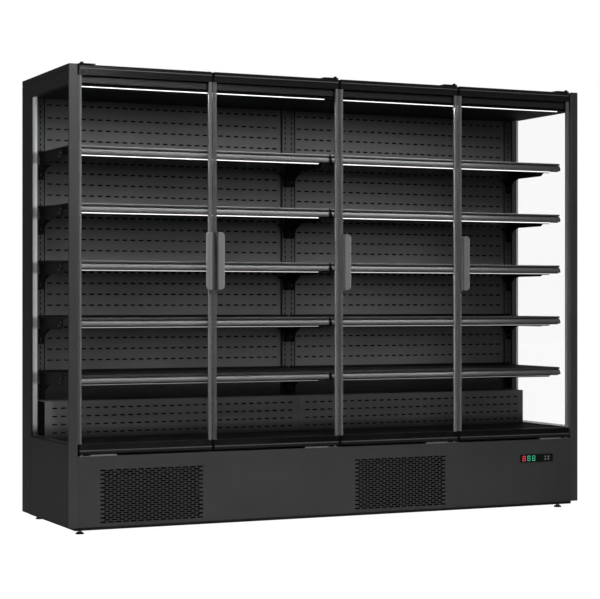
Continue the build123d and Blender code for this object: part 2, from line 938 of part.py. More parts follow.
def make_fan_plates():
    """Fan plates with their round openings: two condenser shrouds, two evaporator plates."""
    coil_far = condenser_depth + condenser_thickness
    low = floor_plate_top + condenser_lift
    high = low + condenser_height
    opening = condenser_fan_radius + condenser_fan_clearance
    plate_far = shroud_depth + sheet
    motor_near = condenser_fan_depth + fan_rotor_thickness / 2 + fan_motor_gap
    with BuildPart() as plates:
        for x, y, z in condenser_fan_places():
            left, right = x - condenser_width / 2, x + condenser_width / 2
            slab((left, right), (coil_far, plate_far), (low, high))
            hollow = (left + sheet, right - sheet)
            hollow_heights = (low + sheet, high - sheet)
            slab(hollow, (coil_far, shroud_depth), hollow_heights, Mode.SUBTRACT)
            with BuildSketch(front_plane(shroud_depth)):
                with Locations((x, z)):
                    RegularPolygon(opening, fan_opening_sides)
            extrude(amount=-sheet, mode=Mode.SUBTRACT)
            with BuildSketch(front_plane(motor_near)):
                with Locations((x, z)):
                    Rectangle(fan_motor_size, fan_motor_size)
            extrude(amount=-fan_motor_length)
            strut_depths = (motor_near + sheet, motor_near + 2 * sheet)
            strut_span = (x - opening - fan_strut_width, x + opening + fan_strut_width)
            strut_heights = (z - fan_strut_width / 2, z + fan_strut_width / 2)
            slab(strut_span, strut_depths, strut_heights)
            for sign in (-1, 1):
                leg_outer = x + sign * (opening + fan_strut_width)
                leg_inner = x + sign * (opening + sheet)
                leg_depths = (shroud_depth, motor_near + 2 * sheet)
                slab(sorted((leg_inner, leg_outer)), leg_depths, strut_heights)
        add(evaporator_fan_plates())
    plates.part.label = "fan_plates"
    export_step(plates.part, "parts/fan_plates.step")


def evaporator_fan_plates():
    """Level fan plates under the evaporators, with a motor bracket for each fan."""
    plate_low = fan_plate_height - sheet / 2
    plate_high = plate_low + sheet
    opening = evaporator_fan_radius + evaporator_fan_clearance
    motor_top = fan_plate_height - fan_rotor_thickness / 2 - fan_motor_gap
    places = [(x, y) for x, y, z in evaporator_fan_places()]
    reach = opening + fan_strut_width
    strut_high = motor_top - sheet
    middle = (evaporator_near + evaporator_far) / 2
    strut_depths = (middle - fan_strut_width / 2, middle + fan_strut_width / 2)
    with BuildPart() as plates:
        for centre in bay_centres:
            span = (centre - evaporator_width / 2, centre + evaporator_width / 2)
            slab(span, (evaporator_near, evaporator_far), (plate_low, plate_high))
        with BuildSketch(Plane.XY.offset(plate_low)):
            with Locations(*places):
                RegularPolygon(opening, fan_opening_sides)
        extrude(amount=sheet, mode=Mode.SUBTRACT)
        with BuildSketch(Plane.XY.offset(motor_top - fan_motor_length)):
            with Locations(*places):
                Rectangle(fan_motor_size, fan_motor_size)
        extrude(amount=fan_motor_length)
        for x, y in places:
            slab((x - reach, x + reach), strut_depths, (strut_high - sheet, strut_high))
            for sign in (-1, 1):
                leg = sorted((x + sign * (opening + sheet), x + sign * reach))
                slab(leg, strut_depths, (strut_high - sheet, plate_high))
    return plates.part


def make_compressors():
    """Hermetic compressor of each unit: a domed shell on a flat foot plate."""
    shell = compressor_radius
    foot = compressor_foot_thickness
    places = [(x, depth(riser_depth)) for x in unit_centres]
    with BuildPart() as compressor:
        with BuildSketch():
            Rectangle(compressor_feet, compressor_foot_width)
        extrude(amount=foot)
        with BuildSketch(Plane.XZ):
            with BuildLine():
                Polyline(
                    (0, foot),
                    (shell, foot),
                    (shell, compressor_shoulder),
                    (compressor_dome_radius, compressor_dome_height),
                    (0, compressor_height),
                    close=True,
                )
            make_face()
        revolve(axis=Axis.Z)
    with BuildPart() as compressors:
        with Locations(*[(x, y, floor_plate_top) for x, y in places]):
            add(compressor.part)
    compressors.part.label = "compressors"
    export_step(compressors.part, "parts/compressors.step")


def make_refrigerant_pipes():
    """Riser of each unit up through the insulated floor, with a valve at the evaporator."""
    start = floor_plate_top + compressor_height
    valve_low = evaporator_low - valve_drop
    stub_height = valve_low + valve_height / 2
    places = [(x, depth(riser_depth)) for x in unit_centres]
    with BuildPart() as pipes:
        with BuildSketch(Plane.XY.offset(start)):
            with Locations(*places):
                RegularPolygon(pipe_radius, pipe_sides)
        extrude(amount=valve_low - start)
        with BuildSketch(Plane.XY.offset(valve_low)):
            with Locations(*places):
                RegularPolygon(valve_radius, valve_sides)
        extrude(amount=valve_height)
        with BuildSketch(front_plane(riser_depth)):
            with Locations(*[(x, stub_height) for x in unit_centres]):
                RegularPolygon(pipe_radius, pipe_sides)
        extrude(amount=-pipe_setback)
    pipes.part.label = "refrigerant_pipes"
    export_step(pipes.part, "parts/refrigerant_pipes.step")


def make_evaporators():
    """Evaporator coil of each bay on end plates that stand on the insulated floor."""
    low = evaporator_low
    high = low + evaporator_height
    depths = (evaporator_near, evaporator_far)
    with BuildPart() as evaporators:
        for centre in bay_centres:
            left, right = centre - evaporator_width / 2, centre + evaporator_width / 2
            slab((left, right), depths, (low, high))
            slab((left - sheet, left), depths, (duct_floor, high))
            slab((right, right + sheet), depths, (duct_floor, high))
    evaporators.part.label = "evaporators"
    export_step(evaporators.part, "parts/evaporators.step")


def make_condensate_tray():
    """Open tray between the two units where the defrost water evaporates."""
    centre = (unit_centres[0] + unit_centres[1]) / 2
    span = (centre - tray_length / 2, centre + tray_length / 2)
    tray_far = rear_wall_near - tray_rear_gap
    depths = (tray_far - tray_width, tray_far)
    heights = (floor_plate_top, floor_plate_top + tray_height)
    with BuildPart() as tray:
        slab(span, depths, heights)
        top_face = tray.faces().sort_by(Axis.Z)[-1]
        offset(amount=-tray_wall, openings=top_face)
    tray.part.label = "condensate_tray"
    export_step(tray.part, "parts/condensate_tray.step")


def make_electrical_box():
    """Electrical box behind the controller, with the supply cord's gland at its rear."""
    half = electrical_box_width / 2
    span = (controller_centre - half, controller_centre + half)
    near = electrical_box_near
    far = near + electrical_box_depth
    high = body_bottom + floor_underside
    with BuildPart() as box:
        slab(span, (near, far), (floor_plate_top, high))
        with BuildSketch(front_plane(far)):
            with Locations((controller_centre + gland_offset, floor_plate_top + gland_height)):
                RegularPolygon(gland_radius, gland_sides)
                RegularPolygon(gland_bore_radius, pipe_sides, mode=Mode.SUBTRACT)
        extrude(amount=-gland_length)
    box.part.label = "electrical_box"
    export_step(box.part, "parts/electrical_box.step")


# ---- Controller -----------------------------------------------------------------------
def key_places():
    """X and height of every key, row by row."""
    return [
        (
            controller_centre + key_offset + (column - (key_columns - 1) / 2) * key_pitch_x,
            controller_middle + ((key_rows - 1) / 2 - row) * key_pitch_z,
        )
        for row in range(key_rows)
        for column in range(key_columns)
    ]


def make_controller_bezel():
    """Controller housing: a rounded front frame, a body through the panel, key wells."""
    height = controller_middle
    front = base_panel_recess - bezel_reach
    well_depth = key_thickness - key_proud + key_travel + key_clearance
    with BuildPart() as bezel:
        with BuildSketch(front_plane(front)):
            with Locations((controller_centre, height)):
                RectangleRounded(bezel_width, bezel_height, bezel_corner_radius)
        extrude(amount=-bezel_reach)
        with BuildSketch(front_plane(base_panel_recess)):
            with Locations((controller_centre, height)):
                Rectangle(housing_width, housing_height)
        extrude(amount=-(electrical_box_near - base_panel_recess))
        with BuildSketch(front_plane(front)):
            with Locations(*key_places()):
                Rectangle(key_width + 2 * key_clearance, key_height + 2 * key_clearance)
        extrude(amount=-well_depth, mode=Mode.SUBTRACT)
        with BuildSketch(front_plane(front)):
            with Locations((controller_centre + display_offset, height)):
                Rectangle(display_width, display_height)
        extrude(amount=-display_thickness, mode=Mode.SUBTRACT)
    bezel.part.label = "controller_bezel"
    export_step(bezel.part, "parts/controller_bezel.step")


def make_controller_display():
    """Display window, flush in the bezel's front."""
    height = controller_middle
    front = base_panel_recess - bezel_reach
    with BuildPart() as display:
        with BuildSketch(front_plane(front)):
            with Locations((controller_centre + display_offset, height)):
                Rectangle(display_width, display_height)
        extrude(amount=-display_thickness)
    display.part.label = "controller_display"
    export_step(display.part, "parts/controller_display.step")


def make_key(place, name):
    """One push key, standing a little proud of the bezel."""
    front = base_panel_recess - bezel_reach - key_proud
    with BuildPart() as key:
        with BuildSketch(front_plane(front)):
            with Locations(place):
                Rectangle(key_width, key_height)
        extrude(amount=-key_thickness)
        chamfer(key.faces().sort_by(Axis.Y)[0].edges(), length=key_edge)
    key.part.label = name
    export_step(key.part, f"parts/{name}.step")


# ---- Doors ----------------------------------------------------------------------------
def pivot_x(centre, free_side):
    """X of a door's hinge line."""
    return centre - free_side * (door_width / 2 - pivot_from_edge)


def rail_section(edge, inward):
    """Corner points of a door rail, from its outer edge towards the glass."""
    lip = edge + inward * rail_lip
    web = edge + inward * rail_web
    tip = edge + inward * rail_height
    front_far = front_pane_depth + pane_thickness
    rear_far = rear_pane_depth + pane_thickness
    return [
        (rail_bevel, edge),
        (rail_depth, edge),
        (rail_depth, tip),
        (rear_far, tip),
        (rear_far, web),
        (rear_pane_depth, web),
        (rear_pane_depth, tip),
        (front_far, tip),
        (front_far, web),
        (front_pane_depth, web),
        (front_pane_depth, lip),
        (0, lip),
        (0, edge + inward * rail_bevel),
    ]


def make_door_rails(centre, free_side, name):
    """Top and bottom rail of a door, grooved for its panes and bored for its pivots."""
    left = centre - door_width / 2
    bore_place = (pivot_x(centre, free_side), depth(pivot_depth))
    bore_depth = pin_engagement + 2
    with BuildPart() as rails:
        for edge, inward in ((door_bottom, 1), (door_top, -1)):
            with BuildSketch(section_plane(left)):
                with BuildLine():
                    Polyline(*rail_section(edge, inward), close=True)
                make_face()
            extrude(amount=door_width)
        for edge, inward in ((door_bottom, 1), (door_top, -1)):
            with BuildSketch(Plane.XY.offset(edge)):
                with Locations(bore_place):
                    Circle(pin_radius + pin_clearance)
            extrude(amount=inward * bore_depth, mode=Mode.SUBTRACT)
    rails.part.label = name
    export_step(rails.part, f"parts/{name}.step")


def make_door_glass(centre, name):
    """Front and rear pane of a door, seated in the rails' grooves."""
    span = (centre - door_width / 2, centre + door_width / 2)
    heights = (door_bottom + rail_web, door_top - rail_web)
    with BuildPart() as glass:
        for near in (front_pane_depth, rear_pane_depth):
            slab(span, (near, near + pane_thickness), heights)
    glass.part.label = name
    export_step(glass.part, f"parts/{name}.step")


def make_door_seals(centre, name):
    """Edge profiles between the panes with their side lips, and the rear seal strips."""
    left, right = centre - door_width / 2, centre + door_width / 2
    low, high = door_bottom + rail_height, door_top - rail_height
    near, far = front_pane_depth + pane_thickness, rear_pane_depth
    lip_depths = (edge_lip_depth, edge_lip_depth + edge_lip_thickness)
    strip_far = seal_depth - seal_clearance
    strip_span = (left + seal_inset, right - seal_inset)
    top_strip = (high - top_seal_drop - seal_height, high - top_seal_drop)
    low_strip = (door_bottom + rail_bevel, door_bottom + rail_bevel + seal_height)
    with BuildPart() as seals:
        slab((left, left + edge_profile_width), (near, far), (low, high))
        slab((right - edge_profile_width, right), (near, far), (low, high))
        slab((left - edge_lip_reach, left), lip_depths, (low, high))
        slab((right, right + edge_lip_reach), lip_depths, (low, high))
        slab(strip_span, (rear_pane_depth + pane_thickness, strip_far), top_strip)
        slab(strip_span, (rail_depth, strip_far), low_strip)
    seals.part.label = name
    export_step(seals.part, f"parts/{name}.step")


def make_door_handle(centre, free_side, name):
    """Bent handle at the free edge: a foot on the glass, a web and a rounded grip."""
    edge = centre + free_side * (door_width / 2 - handle_edge_gap)
    foot_end = edge - free_side * handle_foot_width
    grip_end = edge - free_side * handle_width
    inside = edge - free_side * handle_plate
    grip = depth(-handle_reach)
    glass = depth(front_pane_depth)
    low = body_bottom + handle_centre - handle_height / 2
    with BuildPart() as handle:
        with BuildSketch(Plane.XY.offset(low)):
            with BuildLine():
                Polyline(
                    (edge, grip),
                    (edge, glass),
                    (foot_end, glass),
                    (foot_end, glass - handle_plate),
                    (inside, glass - handle_plate),
                    (inside, grip + handle_plate),
                    (grip_end, grip + handle_plate),
                    (grip_end, grip),
                    close=True,
                )
            make_face()
        extrude(amount=handle_height)
        across = handle.edges().filter_by(Axis.Y)
        far_corners = across.group_by(Axis.X)[0 if free_side > 0 else -1]
        fillet(far_corners, radius=handle_corner_radius)
        outer_bend = handle.edges().filter_by(Axis.Z).group_by(Axis.Y)[0]
        bend_side = outer_bend.sort_by(Axis.X)[-1 if free_side > 0 else 0]
        fillet(bend_side, radius=handle_bend_radius)
    handle.part.label = name
    export_step(handle.part, f"parts/{name}.step")


def make_hinge_brackets():
    """Top plates with pins and lower strips with pins, one pair for every door."""
    plate_high = body_top + hinge_plate_thickness
    foot_high = base_top + hinge_foot_thickness
    strip_high = foot_high + hinge_strip_height
    strip_far = base_panel_recess + hinge_strip_depth
    strip_end = hinge_strip_start + hinge_strip_length
    with BuildPart() as brackets:
        for centre, free_side in zip(door_centres, free_sides):
            pivot = pivot_x(centre, free_side)
            pin_place = (pivot, depth(pivot_depth))
            outer = pivot - free_side * pivot_from_edge
            plate_end = outer + free_side * hinge_plate_length
            plate_span = sorted((outer, plate_end))
            slab(plate_span, (hinge_plate_front, hinge_plate_reach), (body_top, plate_high))
            with BuildSketch(Plane.XY.offset(door_top - pin_engagement)):
                with Locations(pin_place):
                    Circle(pin_radius)
            extrude(amount=body_top - door_top + pin_engagement)
            with BuildSketch(Plane.XY.offset(plate_high)):
                with Locations(pin_place):
                    RegularPolygon(hinge_nut_radius, hinge_nut_sides)
            extrude(amount=hinge_nut_height)
            foot_span = sorted((outer, pivot + free_side * strip_end))
            slab(foot_span, (base_panel_recess, rail_depth), (base_top, foot_high))
            near_end = pivot + free_side * hinge_strip_start
            strip_span = sorted((near_end, pivot + free_side * strip_end))
            slab(strip_span, (base_panel_recess, strip_far), (foot_high, strip_high))
            with BuildSketch(Plane.XY.offset(foot_high)):
                with Locations((near_end, depth(strip_far - hinge_strip_depth / 2))):
                    RegularPolygon(hinge_strip_depth / 2, hinge_strip_end_sides)
            extrude(amount=hinge_strip_height)
            with BuildSketch(Plane.XY.offset(foot_high)):
                with Locations(pin_place):
                    Circle(pin_radius)
            extrude(amount=door_bottom + pin_engagement - foot_high)
    brackets.part.label = "hinge_brackets"
    export_step(brackets.part, "parts/hinge_brackets.step")


# ---- Build ----------------------------------------------------------------------------
make_chassis()
make_levelling_feet()
make_base_front_panel()
make_end_wall(-1, "end_wall_left")
make_end_wall(1, "end_wall_right")
make_side_glass()
make_side_glazing_profiles()
make_rear_wall()
make_insulated_floor()
make_front_sill()
make_roof_panel()
make_canopy_panels()
make_air_honeycombs()
make_canopy_lights()
make_shelf_uprights()
make_back_panels()
make_shelves(0, "shelves_left")
make_shelves(1, "shelves_right")
make_price_rails()
make_shelf_lights()
make_shelf_brackets()
make_deck_trays()
make_return_air_grilles()
make_lower_back_covers()
make_condensers()
make_fan_plates()
make_compressors()
make_refrigerant_pipes()
make_evaporators()
make_condensate_tray()
make_electrical_box()
make_controller_bezel()
make_controller_display()
make_hinge_brackets()
for index, place in enumerate(condenser_fan_places(), start=1):
    make_rotor(condenser_fan_radius, f"condenser_fan_{index}", place, (0, 1, 0))
for index, place in enumerate(evaporator_fan_places(), start=1):
    make_rotor(evaporator_fan_radius, f"evaporator_fan_{index}", place, (0, 0, -1))
for index, place in enumerate(key_places(), start=1):
    make_key(place, f"controller_key_{index}")
for index, (centre, free_side) in enumerate(zip(door_centres, free_sides), start=1):
    make_door_rails(centre, free_side, f"door_{index}_rails")
    make_door_glass(centre, f"door_{index}_glass")
    make_door_seals(centre, f"door_{index}_seals")
    make_door_handle(centre, free_side, f"door_{index}_handle")
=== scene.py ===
"""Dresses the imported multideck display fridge: studio, finishes and detailed pieces.

Lengths are metres. A mesh is built from X along the cabinet, the depth behind its front
plane and the height above its body's underside. When it's finished, it's moved into the
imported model's frame: X along the cabinet, -Y out of the doors, Z up from the floor.
"""

from __future__ import annotations

import itertools
import logging
import math
from dataclasses import dataclass, replace
from enum import Enum

import bmesh
import bpy
from mathutils import Matrix, Vector

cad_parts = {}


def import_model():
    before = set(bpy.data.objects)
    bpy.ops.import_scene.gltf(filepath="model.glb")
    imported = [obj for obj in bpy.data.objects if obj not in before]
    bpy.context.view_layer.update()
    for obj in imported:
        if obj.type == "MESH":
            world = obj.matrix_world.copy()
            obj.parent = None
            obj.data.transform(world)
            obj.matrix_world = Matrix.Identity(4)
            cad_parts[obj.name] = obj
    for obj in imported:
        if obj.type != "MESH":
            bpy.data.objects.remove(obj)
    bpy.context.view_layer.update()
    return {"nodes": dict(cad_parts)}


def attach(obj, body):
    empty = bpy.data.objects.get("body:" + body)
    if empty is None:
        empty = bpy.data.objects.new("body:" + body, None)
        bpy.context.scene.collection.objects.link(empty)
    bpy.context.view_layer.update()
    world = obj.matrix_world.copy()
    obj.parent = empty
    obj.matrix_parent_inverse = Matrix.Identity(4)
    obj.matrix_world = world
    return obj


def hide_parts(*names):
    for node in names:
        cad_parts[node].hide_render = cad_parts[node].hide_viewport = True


LOG = logging.getLogger("display_fridge")
Colour = tuple[float, float, float]
Span = tuple[float, float]
Opening = tuple[Span, Span]
Levels = tuple[Span, ...]
Socket = bpy.types.NodeSocket
Node = bpy.types.Node
Piece = bpy.types.Object

FRONT_Y = -0.3425
FLOOR_TO_BODY = 0.034
HALF_WIDTH = 1.290
INNER_HALF = 1.260
BODY_HEIGHT = 1.988
SHEET = 0.002
DOOR_PITCH = 0.625
BAYS = ((-INNER_HALF, 0.0), (0.0, INNER_HALF))
SHELF_TOPS = (0.648, 0.898, 1.148, 1.398, 1.648)
# The lengths that the colour ramps cover: height, distance from a joint of doors, depth.
LEVEL_SPAN = 2.1
JOINT_SPAN = 0.05
DEPTH_SPAN = 0.1


def in_frame(x: float, depth: float, height: float) -> Vector:
    """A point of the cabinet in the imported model's frame."""
    return Vector((x, FRONT_Y + depth, FLOOR_TO_BODY + height))


def raised(point: Vector, height: float) -> Vector:
    """A point that is lifted by a height."""
    return point + Vector((0, 0, height))


def add_object(name: str, data: bpy.types.ID) -> Piece:
    """Puts an object into the scene.

    Args:
        name: The object's name.
        data: Its mesh, lamp or camera.

    Returns:
        The object.
    """
    made = bpy.data.objects.new(name, data)
    bpy.context.scene.collection.objects.link(made)
    return made


def add_lamp(name: str, size: Span, power: float, place: Vector) -> Piece:
    """Adds a rectangular lamp that shines down.

    Args:
        name: The lamp's name.
        size: Its two sides.
        power: Its power in watts.
        place: Where it hangs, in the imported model's frame.

    Returns:
        The lamp.
    """
    data = bpy.data.lights.new(name, "AREA")
    data.shape = "RECTANGLE"
    data.size, data.size_y = size
    data.energy = power
    lamp = add_object(name, data)
    lamp.location = place
    return lamp


# ---- Shader helpers ----
class Signal:
    """A shader socket that adds Math nodes when it's used in an expression."""

    def __init__(self, sheet: NodeSheet, socket: Socket) -> None:
        """Wraps an output socket of a node sheet."""
        self.sheet = sheet
        self.socket = socket

    def _math(self, operation: str, *operands: Signal | float) -> Signal:
        """The result of one Math node."""
        details = {"operation": operation}, dict(enumerate(operands))
        return Signal(self.sheet, self.sheet.node("ShaderNodeMath", *details).outputs[0])

    def __add__(self, other: Signal | float) -> Signal:
        """Sum of two values."""
        return self._math("ADD", self, other)

    def __sub__(self, other: Signal | float) -> Signal:
        """Difference of two values."""
        return self._math("SUBTRACT", self, other)

    def __rsub__(self, other: float) -> Signal:
        """Difference of a number and this value."""
        return self._math("SUBTRACT", other, self)

    def __mul__(self, other: Signal | float) -> Signal:
        """Product of two values."""
        return self._math("MULTIPLY", self, other)

    __radd__ = __add__
    __rmul__ = __mul__

    def fold(self, pitch: float) -> Signal:
        """Distance from the nearest multiple of a pitch."""
        return self._math("PINGPONG", self, pitch / 2)

    def clamp(self) -> Signal:
        """The value held between 0 and 1."""
        return self._math("MINIMUM", self._math("MAXIMUM", self, 0.0), 1.0)


class NodeSheet:
    """The node tree of one material or of the world."""

    def __init__(self, tree: bpy.types.NodeTree) -> None:
        """Empties a node tree and keeps it."""
        self.tree = tree
        tree.nodes.clear()

    def node(
        self, kind: str, settings: dict | None = None, inputs: dict | None = None
    ) -> Node:
        """Adds a node.

        Args:
            kind: The node's type.
            settings: Its properties, and for a colour ramp its "stops".
            inputs: Values or signals by socket name or number.

        Returns:
            The node.
        """
        node = self.tree.nodes.new(kind)
        for key, value in (settings or {}).items():
            if key == "stops":
                self._set_stops(node, value)
            else:
                setattr(node, key, value)
        for key, value in (inputs or {}).items():
            if isinstance(value, (Signal, Socket)):
                source = value.socket if isinstance(value, Signal) else value
                self.tree.links.new(source, node.inputs[key])
            else:
                node.inputs[key].default_value = value
        return node

    @staticmethod
    def _set_stops(node: Node, stops: list[tuple[float, Colour]]) -> None:
        """Gives a colour ramp its stops.

        Args:
            node: The ramp node.
            stops: Position and colour of each stop.
        """
        elements = node.color_ramp.elements
        while len(elements) < len(stops):
            elements.new(1.0)
        for element, (position, colour) in zip(elements, stops):
            element.position = position
            element.color = (*colour, 1.0)

    def signal(self, kind: str, output: str, inputs: dict | None = None) -> Signal:
        """Adds a node and wraps one of its outputs."""
        return Signal(self, self.node(kind, None, inputs).outputs[output])

    def noise(self, place: Socket, scale: float, detail: float, fade: float = 0.5) -> Signal:
        """Adds a noise pattern.

        Args:
            place: The coordinates that it lies on.
            scale: Its fineness.
            detail: How many finer layers it has.
            fade: How strong each finer layer is.

        Returns:
            The pattern's value.
        """
        inputs = {"Vector": place, "Scale": scale, "Detail": detail, "Roughness": fade}
        return self.signal("ShaderNodeTexNoise", "Fac", inputs)

    def object_place(self) -> Socket:
        """The Object coordinates."""
        return self.node("ShaderNodeTexCoord").outputs["Object"]


# ---- Finishes ----
@dataclass(frozen=True)
class Finish:
    """A coated surface with a fine grain, patches of slight wear and a soft relief.

    Its levels scale the colour by height, distance from a joint of doors and depth; most of them
    paint light and shade into it. Each is a length and the share of the colour there.
    """

    name: str
    colour: Colour
    roughness: float = 0.45
    metallic: float = 0.0
    specular: float = 0.5
    coat: float = 0.0
    coat_roughness: float = 0.08
    mottle: float = 0.12
    mottle_scale: float = 3.0
    mottle_fade: float = 0.6
    mottle_roughness: float = 0.12
    stops: Span = (0.3, 0.7)
    grain_scale: float = 900.0
    grain_roughness: float = 0.08
    relief: float = 0.08
    relief_depth: float = 0.0004
    levels: Levels = ()
    joint_levels: Levels = ()
    depth_levels: Levels = ()

    def material(self) -> bpy.types.Material:
        """Makes the material once and gives the same one back later.

        Returns:
            The material.
        """
        label = f"{self.name}_finish"
        made = bpy.data.materials.get(label)
        if made:
            return made
        made = bpy.data.materials.new(label)
        made.use_nodes = True
        sheet = NodeSheet(made.node_tree)
        shader = self.shade(sheet)
        sheet.node("ShaderNodeOutputMaterial", None, {"Surface": shader.outputs[0]})
        made.diffuse_color = (*self.colour, 1.0)
        return made

    def tone(self, sheet: NodeSheet, place: Socket, pattern: Signal, shares: Span) -> Socket:
        """The colour, varied by a pattern and scaled by the finish's levels.

        Args:
            sheet: The node sheet.
            place: The Object coordinates.
            pattern: The pattern that varies it.
            shares: Shares of the colour where it's low and where it's high.

        Returns:
            The colour.
        """
        ends = [tuple(min(1.0, c * share) for c in self.colour) for share in shares]
        stops = {"stops": list(zip(self.stops, ends))}
        tone = sheet.node("ShaderNodeValToRGB", stops, {"Fac": pattern}).outputs["Color"]
        for levels, span, axis in (
            (self.levels, LEVEL_SPAN, "Z"),
            (self.joint_levels, JOINT_SPAN, "X"),
            (self.depth_levels, DEPTH_SPAN, "Y"),
        ):
            if not levels:
                continue
            where = sheet.signal("ShaderNodeSeparateXYZ", axis, {"Vector": place})
            if axis == "X":
                where = where.fold(DOOR_PITCH)
            elif axis == "Y":
                where = where - FRONT_Y
            stops = {"stops": [(level / span, (share, share, share)) for level, share in levels]}
            ramp = sheet.node("ShaderNodeValToRGB", stops, {"Fac": where * (1 / span)})
            factors = {0: tone, 1: ramp.outputs["Color"]}
            tone = sheet.node("ShaderNodeVectorMath", {"operation": "MULTIPLY"}, factors).outputs[0]
        return tone

    def surface(
        self, sheet: NodeSheet, place: Socket, pattern: Signal, rough: Signal, height: Signal
    ) -> Node:
        """Adds the shader of a coated or bare metal surface.

        Args:
            sheet: The node sheet.
            place: The Object coordinates.
            pattern: The pattern that varies the colour.
            rough: The roughness.
            height: The pattern of the relief.

        Returns:
            The shader node.
        """
        relief = {"Strength": self.relief, "Distance": self.relief_depth, "Height": height}
        bump = sheet.node("ShaderNodeBump", None, relief)
        shares = (1 - self.mottle, 1 + self.mottle)
        inputs = {
            "Base Color": self.tone(sheet, place, pattern, shares),
            "Roughness": rough.clamp(),
            "Metallic": self.metallic,
            "Specular IOR Level": self.specular,
            "Coat Weight": self.coat,
            "Coat Roughness": self.coat_roughness,
            "Normal": bump.outputs["Normal"],
        }
        return sheet.node("ShaderNodeBsdfPrincipled", None, inputs)

    def shade(self, sheet: NodeSheet) -> Node:
        """Builds the nodes.

        Args:
            sheet: The node sheet.

        Returns:
            The shader node.
        """
        place = sheet.object_place()
        patches = sheet.noise(place, self.mottle_scale, 4.0, self.mottle_fade)
        grain = sheet.noise(place, self.grain_scale, 2.0)
        rough = self.roughness + (patches - 0.5) * self.mottle_roughness
        rough = rough + (grain - 0.5) * self.grain_roughness
        return self.surface(sheet, place, patches, rough, grain)


@dataclass(frozen=True)
class BrushedFinish(Finish):
    """A metal whose fine marks run along one axis."""

    metallic: float = 1.0
    mottle: float = 0.2
    mottle_roughness: float = 0.1
    stops: Span = (0.35, 0.65)
    grain_roughness: float = 0.2
    relief_depth: float = 0.0003
    direction: Colour = (4.0, 400.0, 400.0)

    def shade(self, sheet: NodeSheet) -> Node:
        """Builds the nodes.

        Args:
            sheet: The node sheet.

        Returns:
            The shader node.
        """
        place = sheet.object_place()
        turn = {"Vector": place, "Scale": self.direction}
        marks = sheet.noise(sheet.node("ShaderNodeMapping", None, turn).outputs[0], 1.0, 3.0)
        patches = sheet.noise(place, self.mottle_scale, 3.0)
        rough = self.roughness + (marks - 0.5) * self.grain_roughness
        rough = rough + (patches - 0.5) * self.mottle_roughness
        return self.surface(sheet, place, marks, rough, marks)


@dataclass(frozen=True)
class GlassFinish(Finish):
    """Clear plate glass: mostly open, with a faint film of dust and a clean gloss."""

    opacity: float = 0.002
    glance: float = 0.02
    index: float = 1.45
    film_cover: Span = (0.8, 0.4)
    film_roughness: float = 0.03

    def shade(self, sheet: NodeSheet) -> Node:
        """Builds the nodes.

        Args:
            sheet: The node sheet.

        Returns:
            The shader node.
        """
        film = sheet.noise(sheet.object_place(), self.mottle_scale, 4.0)
        glance = sheet.signal("ShaderNodeFresnel", "Fac", {"IOR": self.index})
        base, share = self.film_cover
        cover = (self.opacity + glance * self.glance) * (base + film * share)
        clear = sheet.node("ShaderNodeBsdfTransparent")
        gloss = {
            "Base Color": (*self.colour, 1.0),
            "Roughness": (self.roughness + film * self.film_roughness).clamp(),
            "Specular IOR Level": self.specular,
        }
        sheen = sheet.node("ShaderNodeBsdfPrincipled", None, gloss)
        mixed = {0: cover.clamp(), 1: clear.outputs[0], 2: sheen.outputs[0]}
        return sheet.node("ShaderNodeMixShader", None, mixed)


@dataclass(frozen=True)
class LampFinish(Finish):
    """A lit diffuser, a little dimmer in its dusty patches; the side profiles use it for a painted
    glow, though they are no lamp.
    """

    strength: float = 0.6
    dust: float = 0.94
    dust_scale: float = 12.0

    def shade(self, sheet: NodeSheet) -> Node:
        """Builds the nodes.

        Args:
            sheet: The node sheet.

        Returns:
            The shader node.
        """
        place = sheet.object_place()
        film = sheet.noise(place, self.dust_scale, 2.0)
        tone = self.tone(sheet, place, film, (self.dust, 1.0))
        inputs = {
            "Base Color": tone,
            "Roughness": self.roughness,
            "Emission Color": tone,
            "Emission Strength": self.strength,
        }
        return sheet.node("ShaderNodeBsdfPrincipled", None, inputs)


# Height above the floor and the share of the finish's colour there.
# The lower lamp diffusers are painted dimmer, standing in for how the strips darken when seen at a
# steep angle.
LAMP_SHADE_LEVELS = ((0.64, 0.14), (0.89, 0.26), (1.14, 0.48), (1.39, 1.0), (2.0, 1.0))
# The painted highlight along the shelves' top front edges, stronger on the higher shelves.
NOSE_HIGHLIGHT_LEVELS = ((0.68, 0.06), (0.93, 0.25), (1.18, 0.55), (1.43, 0.8), (1.68, 0.75))
# The side profiles' painted glow: dark at the bottom, with dark painted reflections of the shelf
# ends at each shelf.
SIDE_GLOW_LEVELS = (
    (0.38, 0.03), (0.41, 0.05), (0.45, 0.7),
    *(
        (0.625 + 0.25 * row + rise, share)
        for row, (below, above) in enumerate(((0.85, 0.9), (0.9, 1.0), *((1.0, 1.0),) * 3))
        for rise, share in ((0.0, below), (0.015, 0.35), (0.05, 0.35), (0.065, above))
    ),
)
# Painted shade that darkens the top price rail.
RAIL_SHADE_LEVELS = ((1.46, 1.0), (1.66, 0.76))
# The lower covers are painted darker towards their foot, standing in for shade.
COVER_SHADE_LEVELS = ((0.386, 0.05), (0.42, 0.25), (0.46, 0.8), (0.54, 1.0))
HINGE_LEVELS = ((1.0, 1.0), (1.5, 0.012))
# Distance from the nearest joint of doors, or depth, and the share there.
# The handles are painted dark next to the joint, where their curved face turns into shade, with a
# painted highlight on their outer edge.
GRIP_SHADE_AND_HIGHLIGHT = ((0.0, 0.3), (0.0135, 0.3), (0.0165, 0.9), (0.036, 0.85), (0.042, 1.15))
# The side profiles are painted dark near X = ±1.25 m, so their painted glow shows only on their
# outer part.
SIDE_GLOW_JOINTS = ((0.0, 0.1), (0.0205, 0.1), (0.0225, 1.0))
